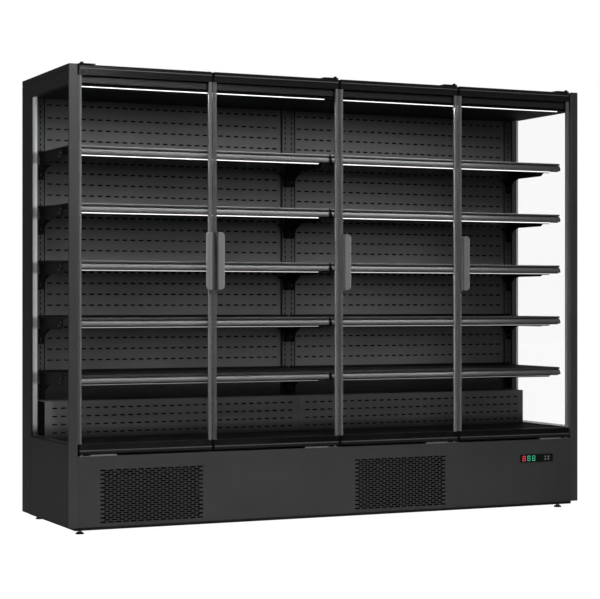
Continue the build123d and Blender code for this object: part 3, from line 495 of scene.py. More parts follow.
# The door edge profiles are painted darker at the joint and deeper in the door, with a painted
# highlight band 14 mm from the joint.
EDGE_SHADE_AND_HIGHLIGHT = ((0.0, 0.7), (0.010, 0.8), (0.014, 1.1), (0.0185, 0.9))
EDGE_DEPTH_SHADE = ((0.0, 1.0), (0.014, 1.0), (0.022, 0.12))


class Paint(Enum):
    """The finishes of this cabinet: name, colour, roughness and what else is special."""

    # Kept darker than the posts' copy of the same black, standing in for the shade on the end
    # walls' sides.
    POWDER_COAT = Finish("black_powder_coat", (0.022, 0.022, 0.0225), 0.55, specular=0.25)
    BASE_COAT = Finish("base_powder_coat", (0.044, 0.044, 0.045), 0.55, specular=0.35)
    # The front posts' black, painted about twice as light as the end walls', standing in for the
    # light on their fronts.
    POST_LIT = Finish("front_post_satin_painted_lit", (0.046, 0.046, 0.048), 0.42, specular=0.4)
    GLASS_BORDER = Finish("glass_border", (0.090, 0.090, 0.093), 0.4, specular=0.3)
    INNER = Finish("inner_black", (0.004, 0.004, 0.0045), 0.6, specular=0.08)
    DUCT = Finish("duct_grey", (0.165, 0.165, 0.167), 0.5, specular=0.3)
    # The lower covers' grey is painted far lighter than the duct's, standing in for the light
    # falling on them.
    COVER_LIT = Finish("cover_grey_painted_light", (0.480, 0.480, 0.484), 0.5, specular=0.2, levels=COVER_SHADE_LEVELS)
    UPRIGHT = Finish("upright_grey", (0.110, 0.110, 0.113), specular=0.3)
    SHELF = Finish("shelf_black", (0.004, 0.004, 0.0045), 0.5, specular=0.1)
    BRACKET = Finish("bracket_black", (0.003, 0.003, 0.0033), 0.5, specular=0.08)
    # A painted highlight, not a lighter part: the light caught by the top edge of each shelf's
    # nose.
    NOSE_HIGHLIGHT = Finish("nose_edge", (0.420, 0.420, 0.425), 0.4, levels=NOSE_HIGHLIGHT_LEVELS)
    NOSE_FACE = Finish("nose_face", (0.060, 0.060, 0.062), specular=0.3)
    PRICE_RAIL = Finish("price_rail_grey", (0.105, 0.105, 0.108), 0.5, levels=RAIL_SHADE_LEVELS)
    DOOR_RAIL = Finish(
        "gloss_black_rail", (0.010, 0.010, 0.011), 0.18, specular=0.3, mottle=0.05
    )
    RAIL_LIP = Finish("rail_lip", (0.110, 0.110, 0.113), 0.35)
    # The edge profiles carry painted shade and a painted highlight from their levels.
    EDGE_PROFILE = Finish(
        "edge_profile_grey", (0.150, 0.152, 0.156), 0.4, specular=0.4,
        joint_levels=EDGE_SHADE_AND_HIGHLIGHT, depth_levels=EDGE_DEPTH_SHADE,
    )
    # The side glazing profiles are no lamp: this glow is painted light, standing in for the light
    # from outside shining through them.
    SIDE_PROFILE_GLOW = LampFinish(
        "side_profile_painted_glow", (0.560, 0.565, 0.580), strength=0.3,
        levels=SIDE_GLOW_LEVELS, joint_levels=SIDE_GLOW_JOINTS,
    )
    # The handles carry painted shade and a painted highlight by distance from the joint.
    GRIP = Finish(
        "smoked_grip", (0.245, 0.247, 0.252), 0.3, mottle=0.06, joint_levels=GRIP_SHADE_AND_HIGHLIGHT
    )
    RUBBER = Finish("foot_rubber", (0.020, 0.020, 0.021), 0.75, specular=0.2)
    BLACK_PLASTIC = Finish("black_plastic", (0.006, 0.006, 0.0065), 0.4, specular=0.15)
    WINDOW = Finish("display_window", (0.003, 0.003, 0.0035), 0.15, specular=0.2, coat=0.1)
    KEY = Finish("key_grey", (0.050, 0.050, 0.052), 0.4, specular=0.4)
    PRINT = Finish("key_print_white", (0.750, 0.740, 0.720), 0.5, specular=0.2, mottle=0.04)
    HINGE = BrushedFinish(
        "hinge_plate", (0.450, 0.455, 0.465), 0.3, mottle=0.12, levels=HINGE_LEVELS
    )
    ZINC = BrushedFinish("zinc_plate", (0.420, 0.430, 0.440), 0.38)
    COPPER = BrushedFinish("copper_tube", (0.300, 0.150, 0.100), 0.4)
    FINS = BrushedFinish(
        "coil_fins", (0.430, 0.440, 0.450), 0.42, mottle=0.25, direction=(500.0, 6.0, 6.0)
    )
    COIL_BLACK = Finish("coil_black", (0.003, 0.003, 0.0033), 0.6, specular=0.08)
    GLASS = GlassFinish("clear_glass", (0.06, 0.075, 0.075), 0.02)
    LAMP = LampFinish("lamp_diffuser", (1.0, 0.99, 0.97), 0.4, strength=1.3, levels=LAMP_SHADE_LEVELS)
    RED = LampFinish("red_digit", (0.85, 0.06, 0.09), 0.4)
    GREEN = LampFinish("green_digit", (0.05, 0.50, 0.27), 0.4)

    def dress(self, piece: Piece) -> None:
        """Gives a piece this finish in place of any other.

        Args:
            piece: The piece or CAD node.
        """
        piece.data.materials.clear()
        piece.data.materials.append(self.value.material())
        LOG.info("%s: %s", piece.name, self.value.name)


# ---- Mesh helpers ----
@dataclass(frozen=True)
class SlotPattern:
    """Rows of equal slots in a sheet, with every other row moved along if asked."""

    columns: int
    rows: int
    pitch: Span
    size: Span
    staggered: bool = False

    def at(self, left: float, low: float) -> list[Opening]:
        """Places the pattern.

        Args:
            left: Where its first column starts.
            low: The height of its first row.

        Returns:
            Each slot's span across the sheet and its heights.
        """
        found = []
        for row in range(self.rows):
            shift = self.pitch[0] / 2 if self.staggered and row % 2 else 0.0
            z = low + row * self.pitch[1]
            for column in range(self.columns - (1 if shift else 0)):
                x = left + shift + column * self.pitch[0]
                found.append(((x, x + self.size[0]), (z, z + self.size[1])))
        return found


class Facing(Enum):
    """Where a sheet faces, as the turn that brings it there from the front."""

    FRONT = Matrix.Identity(4)
    SIDE = Matrix(((0, 1, 0, 0), (1, 0, 0, 0), (0, 0, 1, 0), (0, 0, 0, 1)))


class Shape:
    """One mesh in the making, in X, depth and height, built with bmesh operators."""

    smooth_angle = math.radians(35)
    cut_digits = 6
    cut_distance = 1e-7

    def __init__(self, name: str) -> None:
        """Starts an empty mesh for the piece of that name."""
        self.name = name
        self.mesh = bmesh.new()

    def block(self, x: Span, depths: Span, heights: Span, edge: float = 0.0) -> None:
        """Adds a box, with rounded edges if asked.

        Args:
            x: Its span along X.
            depths: Its span of depths.
            heights: Its span of heights.
            edge: The radius of its edges.
        """
        size = Vector([end - start for start, end in (x, depths, heights)])
        middle = Vector([(start + end) / 2 for start, end in (x, depths, heights)])
        place = Matrix.Translation(middle) @ Matrix.Diagonal((*size, 1.0))
        made = bmesh.ops.create_cube(self.mesh, size=1.0, matrix=place)["verts"]
        if edge > 0:
            edges = list({e for v in made for e in v.link_edges})
            bmesh.ops.bevel(
                self.mesh, geom=edges, offset=edge, affect="EDGES",
                segments=2, profile=0.5, material=-1,
            )

    def rod(
        self, start: Vector, end: Vector, radius: float, sides: int, taper: float = 1.0
    ) -> None:
        """Adds a round or many-sided bar between two points.

        Args:
            start: The middle of its first end.
            end: The middle of its last end.
            radius: The first end's radius.
            sides: Sides around it.
            taper: The last end's radius as a share of the first one's.
        """
        along = end - start
        turn = along.to_track_quat("Z", "Y").to_matrix().to_4x4()
        bmesh.ops.create_cone(
            self.mesh, cap_ends=True, segments=sides, radius1=radius, radius2=radius * taper,
            depth=along.length, matrix=Matrix.Translation((start + end) / 2) @ turn,
        )

    def outline(self, points: list[Vector], push: Vector) -> None:
        """Adds a flat outline pushed along a direction.

        Args:
            points: The outline's corners in order.
            push: How far it's pushed.
        """
        face = self.mesh.faces.new([self.mesh.verts.new(p) for p in points])
        pushed = bmesh.ops.extrude_face_region(self.mesh, geom=[face])["geom"]
        moved = [v for v in pushed if isinstance(v, bmesh.types.BMVert)]
        bmesh.ops.translate(self.mesh, verts=moved, vec=push)

    def sheet(
        self, across: Span, heights: Span, faces: Span,
        openings: list[Opening], facing: Facing = Facing.FRONT,
    ) -> None:
        """Adds a flat sheet with openings cut through it.

        Args:
            across: Its span along X, or its depths where it faces the side.
            heights: Its span of heights.
            faces: The depths of its two faces, or their X where it faces the side.
            openings: The openings' spans across it and their heights.
            facing: Where it faces.
        """
        sheet = bmesh.new()
        (left, right), (low, high) = across, heights
        corners = ((left, low), (right, low), (right, high), (left, high))
        sheet.faces.new([sheet.verts.new((a, 0.0, b)) for a, b in corners])
        for axis, normal in ((0, Vector((1, 0, 0))), (1, Vector((0, 0, 1)))):
            ends = {round(v, self.cut_digits) for opening in openings for v in opening[axis]}
            for value in sorted(ends):
                bmesh.ops.bisect_plane(
                    sheet, geom=sheet.verts[:] + sheet.edges[:] + sheet.faces[:],
                    dist=self.cut_distance, plane_co=normal * value, plane_no=normal,
                )
        gone = []
        for face in sheet.faces:
            a, _, b = face.calc_center_median()
            if any(x0 < a < x1 and z0 < b < z1 for (x0, x1), (z0, z1) in openings):
                gone.append(face)
        bmesh.ops.delete(sheet, geom=gone, context="FACES")
        bmesh.ops.translate(sheet, verts=sheet.verts[:], vec=(0, faces[0], 0))
        pushed = bmesh.ops.extrude_face_region(sheet, geom=sheet.faces[:], use_keep_orig=True)
        moved = [v for v in pushed["geom"] if isinstance(v, bmesh.types.BMVert)]
        bmesh.ops.translate(sheet, verts=moved, vec=(0, faces[1] - faces[0], 0))
        bmesh.ops.transform(sheet, matrix=facing.value, verts=sheet.verts[:])
        part = bpy.data.meshes.new("part")
        sheet.to_mesh(part)
        sheet.free()
        self.mesh.from_mesh(part)
        bpy.data.meshes.remove(part)

    def finish(
        self, paint: Paint, slot: str = "black_powder_coat", body: str = "cabinet",
        replaces: str | None = None, smooth: bool = False,
    ) -> None:
        """Moves the mesh into the frame and makes it a piece that rides on a body.

        Args:
            paint: Its finish.
            slot: The record's material slot that it belongs to; not used.
            body: The CAD body that carries it.
            replaces: The CAD node that it stands for.
            smooth: Whether its round faces are shaded smooth.
        """
        bmesh.ops.translate(self.mesh, verts=self.mesh.verts[:], vec=in_frame(0.0, 0.0, 0.0))
        bmesh.ops.recalc_face_normals(self.mesh, faces=self.mesh.faces[:])
        data = bpy.data.meshes.new(self.name)
        self.mesh.to_mesh(data)
        self.mesh.free()
        piece = add_object(self.name, data)
        if smooth:
            data.shade_smooth()
            data.set_sharp_from_angle(angle=self.smooth_angle)
        paint.dress(piece)
        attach(piece, body)
        if replaces:
            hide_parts(replaces)
        LOG.info("%s: %d faces on %s", self.name, len(data.polygons), body)


# ---- Studio ----
@dataclass
class Studio:
    """Camera at the photograph's angle, plain floor and soft light.

    Each softbox has a name, a place, the point that it's turned to, a side and a power.
    """

    focal_pixels: float = 1796.17
    frame_width: int = 600
    frame_height: int = 599
    horizon_pixel: float = 302.69
    sensor: float = 36.0
    view_reach: float = 200.0
    yaw: float = 0.435710
    camera_place: Colour = (-3.6325, -7.7095, 0.99874)
    ambient: float = 0.07
    glossy_share: float = 0.06
    floor_half: float = 30.0
    floor_matte: float = 0.55
    floor_glow: float = 1.14
    floor_seen: float = 0.88
    floor_gloss: float = 0.10
    softboxes: tuple = (
        ("key_softbox", (-1.1, -3.4, 3.3), (-1.5, -0.3, 0.8), 2.0, 104.0),
        ("side_softbox", (-6.0, -2.0, 3.0), (-1.3, 0.0, 1.0), 2.0, 30.0),
        ("rear_softbox", (0.6, 5.0, 3.4), (0.2, 0.36, 1.0), 2.5, 130.0),
    )

    def build(self) -> None:
        """Builds the camera, the world, the floor and the softboxes."""
        self._camera()
        self._world()
        self._floor()
        for name, place, target, side, power in self.softboxes:
            lamp = add_lamp(name, (side, side), power, Vector(place))
            aim = Vector(target) - Vector(place)
            lamp.rotation_euler = aim.to_track_quat("-Z", "Y").to_euler()
        bpy.context.scene.view_settings.view_transform = "Standard"

    def _camera(self) -> None:
        """Puts the camera where the photograph was taken from."""
        data = bpy.data.cameras.new("camera")
        data.sensor_width = self.sensor
        data.sensor_fit = "HORIZONTAL"
        data.lens = self.focal_pixels * self.sensor / self.frame_width
        data.shift_y = (self.horizon_pixel - self.frame_height / 2) / self.frame_width
        data.clip_end = self.view_reach
        camera = add_object("camera", data)
        camera.location = self.camera_place
        camera.rotation_euler = (math.pi / 2, 0.0, -self.yaw)
        bpy.context.scene.camera = camera

    @staticmethod
    def _rays(sheet: NodeSheet, kind: str) -> Signal:
        """Whether the light path's ray is of a kind, as 1 or 0."""
        return sheet.signal("ShaderNodeLightPath", f"Is {kind} Ray")

    def _world(self) -> None:
        """Lights the room evenly and shows a white background."""
        world = bpy.data.worlds.new("studio")
        bpy.context.scene.world = world
        world.use_nodes = True
        sheet = NodeSheet(world.node_tree)
        seen = self._rays(sheet, "Camera") + self._rays(sheet, "Glossy") * self.glossy_share
        seen = (seen + self._rays(sheet, "Transmission")).clamp()
        strength = self.ambient + seen * (1.0 - self.ambient)
        white = {"Color": (1.0, 1.0, 1.0, 1.0), "Strength": strength}
        light = sheet.node("ShaderNodeBackground", None, white)
        sheet.node("ShaderNodeOutputWorld", None, {"Surface": light.outputs[0]})

    def _floor(self) -> None:
        """Lays a pale floor that melts into the white background."""
        shape = bmesh.new()
        bmesh.ops.create_grid(shape, x_segments=1, y_segments=1, size=self.floor_half)
        data = bpy.data.meshes.new("floor")
        shape.to_mesh(data)
        shape.free()
        floor = add_object("floor", data)
        material = bpy.data.materials.new("studio_floor")
        material.use_nodes = True
        sheet = NodeSheet(material.node_tree)
        pale = (self.floor_matte, self.floor_matte, self.floor_matte, 1.0)
        matte = sheet.node("ShaderNodeBsdfDiffuse", None, {"Color": pale})
        white = {"Color": (1.0, 1.0, 1.0, 1.0), "Strength": self.floor_glow}
        glow = sheet.node("ShaderNodeEmission", None, white)
        seen = self._rays(sheet, "Camera") * self.floor_seen
        seen = (seen + self._rays(sheet, "Glossy") * self.floor_gloss).clamp()
        parts = {0: seen, 1: matte.outputs[0], 2: glow.outputs[0]}
        mixed = sheet.node("ShaderNodeMixShader", None, parts)
        sheet.node("ShaderNodeOutputMaterial", None, {"Surface": mixed.outputs[0]})
        floor.data.materials.append(material)


# ---- Lamp strips ----
@dataclass
class LampStrips:
    """Every lamp strip: one under the canopy and one under each shelf, in both bays.

    A strip is a lit diffuser and a dark housing, over a lamp that the camera doesn't see.
    """

    canopy_insets: Span = (0.020, 0.059)
    canopy_depths: Span = (0.043, 0.055)
    canopy_heights: Span = (1.891, 1.898)
    canopy_power: float = 3.6
    shelf_insets: Span = (0.042, 0.057)
    shelf_depths: Span = (0.110, 0.122)
    shelf_drops: Span = (0.047, 0.040)
    power: float = 2.8
    lowest_power: float = 0.22
    reaches: Span = (1.0, 0.72)
    diffuser: float = 0.0034
    diffuser_edge: float = 0.0008
    housing_edge: float = 0.0006
    lamp_width: float = 0.010
    lamp_drop: float = 0.003

    def build(self) -> None:
        """Builds the strips in place of the CAD ones."""
        rows = {}
        for row, top in enumerate(SHELF_TOPS, start=1):
            heights = (top - self.shelf_drops[0], top - self.shelf_drops[1])
            rows[f"_{row}"] = (heights, self.lowest_power if row == 1 else self.power)
        self._strips("shelf_light", self.shelf_insets, self.shelf_depths, rows)
        rows = {"": (self.canopy_heights, self.canopy_power)}
        self._strips("canopy_light", self.canopy_insets, self.canopy_depths, rows)

    def _strips(self, kind: str, insets: Span, depths: Span, rows: dict) -> None:
        """Builds the strips of one kind.

        Args:
            kind: What their pieces' names start with.
            insets: How far they stay off the left and right end of a bay.
            depths: Their span of depths.
            rows: Heights and power of each row, by what its lamp's name ends with.
        """
        diffusers, housings = Shape(f"{kind}_diffusers"), Shape(f"{kind}_housings")
        (near, far), middle = depths, sum(depths) / 2
        for bay, ((left, right), reach) in enumerate(zip(BAYS, self.reaches), start=1):
            x = (left + insets[0], right - insets[1])
            length = (x[1] - x[0]) * reach
            for ending, ((low, high), power) in rows.items():
                lit = (high - self.diffuser, high)
                diffusers.block(x, (near, middle), lit, self.diffuser_edge)
                housings.block(x, (middle, far), (low, high), self.housing_edge)
                place = in_frame(x[0] + length / 2, middle, low - self.lamp_drop)
                size = (length, self.lamp_width)
                lamp = add_lamp(f"{kind}_{bay}{ending}", size, power, place)
                lamp.visible_camera = False
        # The diffusers' finish paints the strips under the lower shelves dimmer.
        diffusers.finish(Paint.LAMP, "lamp", replaces=f"{kind}s")
        housings.finish(Paint.INNER, "fan_black")


# ---- Cabinet body ----
@dataclass
class CabinetBody:
    """The CAD solids that aren't doors, with their finishes."""

    finishes: tuple = (
        (Paint.POWDER_COAT, "chassis rear_wall roof_panel electrical_box"),
        (Paint.POWDER_COAT, "end_wall_left end_wall_right"),
        (Paint.BASE_COAT, "base_front_panel"),
        (Paint.INNER, "insulated_floor front_sill canopy_panels"),
        (Paint.GLASS, "side_glass"),
        (Paint.SIDE_PROFILE_GLOW, "side_glazing_profiles"),
        (Paint.LAMP, "canopy_lights shelf_lights"),
        (Paint.UPRIGHT, "shelf_uprights"),
        (Paint.DUCT, "back_panels"),
        (Paint.COVER_LIT, "lower_back_covers"),
        (Paint.SHELF, "shelves_left shelves_right deck_trays"),
        (Paint.PRICE_RAIL, "price_rails"),
        (Paint.BRACKET, "shelf_brackets"),
        (Paint.BLACK_PLASTIC, "air_honeycombs return_air_grilles condensate_tray compressors"),
        (Paint.BLACK_PLASTIC, "controller_bezel condenser_fan_1 condenser_fan_2"),
        (Paint.BLACK_PLASTIC, "evaporator_fan_1 evaporator_fan_2"),
        (Paint.BLACK_PLASTIC, "evaporator_fan_3 evaporator_fan_4"),
        (Paint.COIL_BLACK, "condensers fan_plates"),
        (Paint.COPPER, "refrigerant_pipes"),
        (Paint.FINS, "evaporators"),
        (Paint.RUBBER, "levelling_feet"),
        (Paint.WINDOW, "controller_display"),
        (Paint.KEY, "controller_key_1 controller_key_2 controller_key_3 controller_key_4"),
        (Paint.HINGE, "hinge_brackets"),
    )

    def dress(self, nodes: dict) -> None:
        """Gives every node its finish.

        Args:
            nodes: The CAD nodes by name.
        """
        for paint, names in self.finishes:
            for name in names.split():
                paint.dress(nodes[name])


# ---- Doors ----
@dataclass
class GlassDoor:
    """One double-glazed door with its rails, edge profiles, seals and handle."""

    number: int
    first_joint: float = -1.250
    gap: float = 0.014
    bead: float = 0.004
    bead_depths: Span = (0.0008, 0.003)
    bead_heights: Span = (0.327, 1.9685)
    bead_edge: float = 0.0006
    finishes: tuple = (
        ("rails", Paint.DOOR_RAIL),
        ("glass", Paint.GLASS),
        ("seals", Paint.EDGE_PROFILE),
        ("handle", Paint.GRIP),
    )

    def dress(self, nodes: dict) -> None:
        """Gives the door's nodes their finishes and adds the beads of its rails.

        Args:
            nodes: The CAD nodes by name.
        """
        door = f"door_{self.number}"
        for part, paint in self.finishes:
            paint.dress(nodes[f"{door}_{part}"])
        left = self.first_joint + DOOR_PITCH * (self.number - 1) + self.gap / 2
        x = (left, left + DOOR_PITCH - self.gap)
        beads = Shape(f"{door}_beads")
        for low in self.bead_heights:
            beads.block(x, self.bead_depths, (low, low + self.bead), self.bead_edge)
        beads.finish(Paint.RAIL_LIP, "grey_profile", body=door)


# ---- Perforated sheets ----
@dataclass
class BasePanel:
    """Folded base panel with its two perforated vent fields."""

    half: float = 1.252
    near: float = 0.002
    top: float = 0.305
    flange: float = 0.041
    field_lefts: Span = (-1.149, 0.0775)
    field_low: float = 0.0155
    slots: SlotPattern = SlotPattern(14, 25, (0.0345, 0.0093), (0.0270, 0.0070), staggered=True)
    cutout: Opening = ((0.968, 1.142), (0.201, 0.231))

    def build(self) -> None:
        """Builds the panel in place of the CAD one."""
        shape = Shape("base_panel_perforated")
        x, far = (-self.half, self.half), self.near + SHEET
        vents = [slot for left in self.field_lefts for slot in self.slots.at(left, self.field_low)]
        shape.sheet(x, (0.0, self.top), (self.near, far), [*vents, self.cutout])
        shape.block(x, (far, self.flange), (self.top - SHEET, self.top))
        shape.finish(Paint.BASE_COAT, replaces="base_front_panel")


@dataclass
class AirDuct:
    """Perforated back panels of both bays, each with a narrow strip above a seam."""

    depth: float = 0.582
    low: float = 0.520
    strip_low: float = 1.842
    high: float = 1.898
    seam: float = 0.006
    seam_depth: float = 0.001
    end_gap: float = 0.001
    blank: float = 0.050
    first_row: float = 0.647
    strip_row: float = 1.868
    slots: SlotPattern = SlotPattern(29, 24, (0.0403, 0.0505), (0.024, 0.007))

    def build(self) -> None:
        """Builds the panels of both bays in place of the CAD ones."""
        shape = Shape("back_panels_perforated")
        far, panel_top = self.depth + SHEET, self.strip_low - self.seam
        for left, right in BAYS:
            x = (left + self.end_gap, right - self.end_gap)
            first, faces = x[0] + self.blank, (self.depth, far)
            shape.sheet(x, (self.low, panel_top), faces, self.slots.at(first, self.first_row))
            strip = replace(self.slots, rows=1).at(first, self.strip_row)
            shape.sheet(x, (self.strip_low, self.high), faces, strip)
            shape.block(x, (self.depth + self.seam_depth, far), (panel_top, self.strip_low))
        shape.finish(Paint.DUCT, "grey_duct", replaces="back_panels")


@dataclass
class LowerCovers:
    """Folded perforated covers in front of the evaporators, with filters behind them."""

    front: float = 0.450
    low: float = 0.352
    high: float = 0.520
    flange: float = 0.569
    joint_gap: float = 0.001
    blank: float = 0.034
    first_row: float = 0.373
    slots: SlotPattern = SlotPattern(30, 4, (0.0403, 0.037), (0.024, 0.007))
    filter: Span = (0.4545, 0.456)

    def build(self) -> None:
        """Builds both covers in place of the CAD ones."""
        shape, filters = Shape("lower_covers_perforated"), Shape("lower_cover_filters")
        far, under = self.front + SHEET, self.high - SHEET
        for left, end in BAYS:
            x = (left, end - self.joint_gap)
            slots = self.slots.at(left + self.blank, self.first_row)
            shape.sheet(x, (self.low, self.high), (self.front, far), slots)
            shape.block(x, (far, self.flange), (under, self.high))
            filters.block((x[0] + SHEET, x[1] - SHEET), self.filter, (self.low, under))
        shape.finish(Paint.COVER_LIT, replaces="lower_back_covers")
        filters.finish(Paint.INNER)


@dataclass
class ShelfUprights:
    """Channel uprights with a slot every 25 millimetres, with black sheets behind the slots as
    painted shade and painted shadow lines beside them.
    """

    depth: float = 0.570
    thickness: float = 0.012
    heights: Span = (0.520, 1.898)
    columns: tuple = (
        ((-1.260, -1.230), (-1.245,)),
        ((-0.031, 0.031), (-0.017, 0.017)),
        ((1.230, 1.260), (1.245,)),
    )
    slots: SlotPattern = SlotPattern(1, 54, (0.025, 0.025), (0.006, 0.015))
    # Black sheets behind the slots, standing in for the shade inside the uprights.
    first_slot: float = 0.529
    shade_liner_half: float = 0.0055
    shade_liner_depths: Span = (0.5735, 0.575)
    # Dark lines on the duct beside the uprights, standing in for their shadows.
    shadow_lines: tuple = (-1.2225, -0.0335, 0.0395, 1.2280)
    shadow_half: float = 0.0025
    shadow_depths: Span = (0.5812, 0.5819)

    def build(self) -> None:
        """Builds the three uprights in place of the CAD ones, and the painted shade sheets and
        shadow lines.
        """
        shape, dark = Shape("uprights_slotted"), Shape("upright_shade_liners")
        far, half = self.depth + SHEET, self.slots.size[0] / 2
        for x, middles in self.columns:
            slots = [s for middle in middles for s in self.slots.at(middle - half, self.first_slot)]
            shape.sheet(x, self.heights, (self.depth, far), slots)
            for start in (x[0], x[1] - SHEET):
                flange = (far, self.depth + self.thickness)
                shape.block((start, start + SHEET), flange, self.heights)
        shape.finish(Paint.UPRIGHT, "grey_duct", replaces="shelf_uprights")
        shade_liners = [middle for _, middles in self.columns for middle in middles]
        for places, width, depths in (
            (shade_liners, self.shade_liner_half, self.shade_liner_depths),
            (self.shadow_lines, self.shadow_half, self.shadow_depths),
        ):
            for middle in places:
                dark.block((middle - width, middle + width), depths, self.heights)
        dark.finish(Paint.INNER)


# ---- Shelving ----
@dataclass
class Shelving:
    """Price rails with end caps, the shelves' front faces with a painted highlight along their top
    edges, and the brackets' plates.

    Outlines and rivets are given by depth, or distance from the upright, and by the height
    from the shelf's top face.
    """

    rail: tuple = (
        (0.120, -0.010), (0.1150, -0.0105), (0.1090, -0.0135), (0.1045, -0.0180),
        (0.1015, -0.0235), (0.1000, -0.0290), (0.1002, -0.0330), (0.1020, -0.0355),
        (0.1080, -0.0362), (0.120, -0.0362),
    )
    side_gap: float = 0.004
    cap: float = 0.005
    cap_lip: float = 0.0005
    bracket_columns: tuple = (-1.245, -0.017, 0.017, 1.245)
    bracket_half: float = 0.0015
    rivets: tuple = ((0.262, -0.020), (0.285, -0.036))
    rivet_radius: float = 0.0035
    rivet_head: float = 0.001
    rivet_taper: float = 0.6
    rivet_sides: int = 12
    plate_columns: tuple = ((-1.260, 1), (0.0, -1), (0.0, 1), (1.260, -1))
    plate_depths: Span = (0.560, 0.562)
    plate_outline: tuple = (
        (0.001, -0.123), (0.0315, -0.121), (0.0320, -0.098), (0.036, -0.084),
        (0.043, -0.072), (0.053, -0.062), (0.066, -0.053), (0.001, -0.053),
    )
    plate_rivet: Span = (0.015, -0.099)
    nose_depths: Span = (0.1064, 0.1078)
    nose_edge: float = 0.0006
    # The edges band is a painted highlight on the top edge of each nose.
    nose_bands: tuple = (
        ("edges", Paint.NOSE_HIGHLIGHT, (-0.003, 0.0)),
        ("faces", Paint.NOSE_FACE, (-0.009, -0.003)),
    )

    def build(self) -> None:
        """Builds the rails in place of the CAD ones, then the plates, rivets, and the noses' faces
        and painted highlights.
        """
        self._rails()
        self._brackets()
        for name, paint, (low, high) in self.nose_bands:
            noses = Shape(f"shelf_nose_{name}")
            for left, right in BAYS:
                x = (left + self.side_gap, right - self.side_gap)
                for top in SHELF_TOPS:
                    noses.block(x, self.nose_depths, (top + low, top + high), self.nose_edge)
            noses.finish(paint)

    def _rails(self) -> None:
        """Builds the price rails and their end caps, which stand out by a lip."""
        rails, caps = Shape("price_rails_rounded"), Shape("price_rail_caps")
        for end, start in BAYS:
            left, right = end + self.side_gap, start - self.side_gap
            for top in SHELF_TOPS:
                for shape, x, length, lip in (
                    (rails, left + self.cap, right - left - 2 * self.cap, 0.0),
                    (caps, left, self.cap, self.cap_lip),
                    (caps, right - self.cap, self.cap, self.cap_lip),
                ):
                    points = [Vector((x, depth - lip, top + drop)) for depth, drop in self.rail]
                    shape.outline(points, Vector((length, 0, 0)))
        rails.finish(Paint.PRICE_RAIL, "grey_price_rail", replaces="price_rails", smooth=True)
        caps.finish(Paint.BLACK_PLASTIC, "fan_black")

    def _brackets(self) -> None:
        """Builds the plates at the brackets' roots, and the rivets of both."""
        plates, rivets, feet = Shape("bracket_plates"), Shape("bracket_rivets"), []
        near, far = self.plate_depths
        for top in SHELF_TOPS:
            for x, side in itertools.product(self.bracket_columns, (-1, 1)):
                for depth, drop in self.rivets:
                    foot = Vector((x + side * self.bracket_half, depth, top + drop))
                    feet.append((foot, Vector((side, 0, 0))))
            for root, side in self.plate_columns:
                points = [Vector((root + side * x, near, top + z)) for x, z in self.plate_outline]
                plates.outline(points, Vector((0, far - near, 0)))
                x, drop = self.plate_rivet
                feet.append((Vector((root + side * x, near, top + drop)), Vector((0, -1, 0))))
        for foot, way in feet:
            end = foot + way * self.rivet_head
            rivets.rod(foot, end, self.rivet_radius, self.rivet_sides, self.rivet_taper)
        plates.finish(Paint.BRACKET)
        rivets.finish(Paint.ZINC, "zinc")


# ---- End walls, rear wall, roof and feet ----
@dataclass
class EndWall:
    """One end wall: a rounded front post, an insulated core and an outer skin with seams."""

    side: int
    node: str
    post_width: float = 0.038
    post_depth: float = 0.012
    post_edge: float = 0.0015
    depth: float = 0.709
    window: Opening = ((0.012, 0.568), (0.354, 1.900))
    skin: float = 0.0015
    seam_depths: Span = (0.576, 0.579)
    seam_heights: Span = (1.963, 1.966)
    border: Span = (0.013, 0.037)
    border_faces: Span = (0.0002, 0.0010)

    def build(self) -> None:
        """Builds the wall in place of the CAD one."""
        outer, inner = self.side * HALF_WIDTH, self.side * INNER_HALF
        face = outer - self.side * self.skin
        depths, heights = (self.post_depth, self.depth), (0.0, BODY_HEIGHT)
        post = Shape(f"{self.node}_post")
        post_inner = self.side * (HALF_WIDTH - self.post_width)
        x = tuple(sorted((outer, post_inner)))
        post.block(x, (0.0, self.post_depth), heights, self.post_edge)
        post.finish(Paint.POST_LIT, "black_panel", replaces=self.node)
        seams = [(self.seam_depths, (0.0, self.seam_heights[0])), (depths, self.seam_heights)]
        for layer, faces, openings in (
            ("core", (inner, face), [self.window]),
            ("skin", (face, outer), [self.window, *seams]),
        ):
            wall = Shape(f"{self.node}_{layer}")
            wall.sheet(depths, heights, faces, openings, Facing.SIDE)
            wall.finish(Paint.POWDER_COAT, "black_panel")
        border = Shape(f"{self.node}_glass_border")
        x = tuple(sorted(inner - self.side * offset for offset in self.border_faces))
        border.block(x, self.border, self.window[1])
        border.finish(Paint.GLASS_BORDER, "black_panel")


@dataclass
class RearWall:
    """Rear wall: insulated core and an outer sheet with seams and air slots."""

    near: float = 0.649
    far: float = 0.709
    skin: float = 0.0015
    low: float = 0.250
    top: float = 1.948
    flange: float = 0.695
    seams: Span = (-0.63, 0.63)
    seam_half: float = 0.0015
    vent_left: float = -0.300
    vent_low: float = 0.054
    slots: SlotPattern = SlotPattern(12, 9, (0.050, 0.0167), (0.038, 0.007), staggered=True)

    def build(self) -> None:
        """Builds the wall in place of the CAD one."""
        x, face = (-INNER_HALF, INNER_HALF), self.far - self.skin
        core, skin = Shape("rear_wall_core"), Shape("rear_wall_sheet")
        core.block(x, (self.near, face), (self.low, self.top))
        core.block(x, (self.flange, face), (0.0, SHEET))
        core.finish(Paint.INNER, "black_panel", replaces="rear_wall")
        half = self.seam_half
        seams = [((seam - half, seam + half), (self.low, self.top)) for seam in self.seams]
        vents = self.slots.at(self.vent_left, self.vent_low)
        skin.sheet(x, (0.0, self.top), (face, self.far), vents + seams)
        skin.finish(Paint.POWDER_COAT, "black_panel")


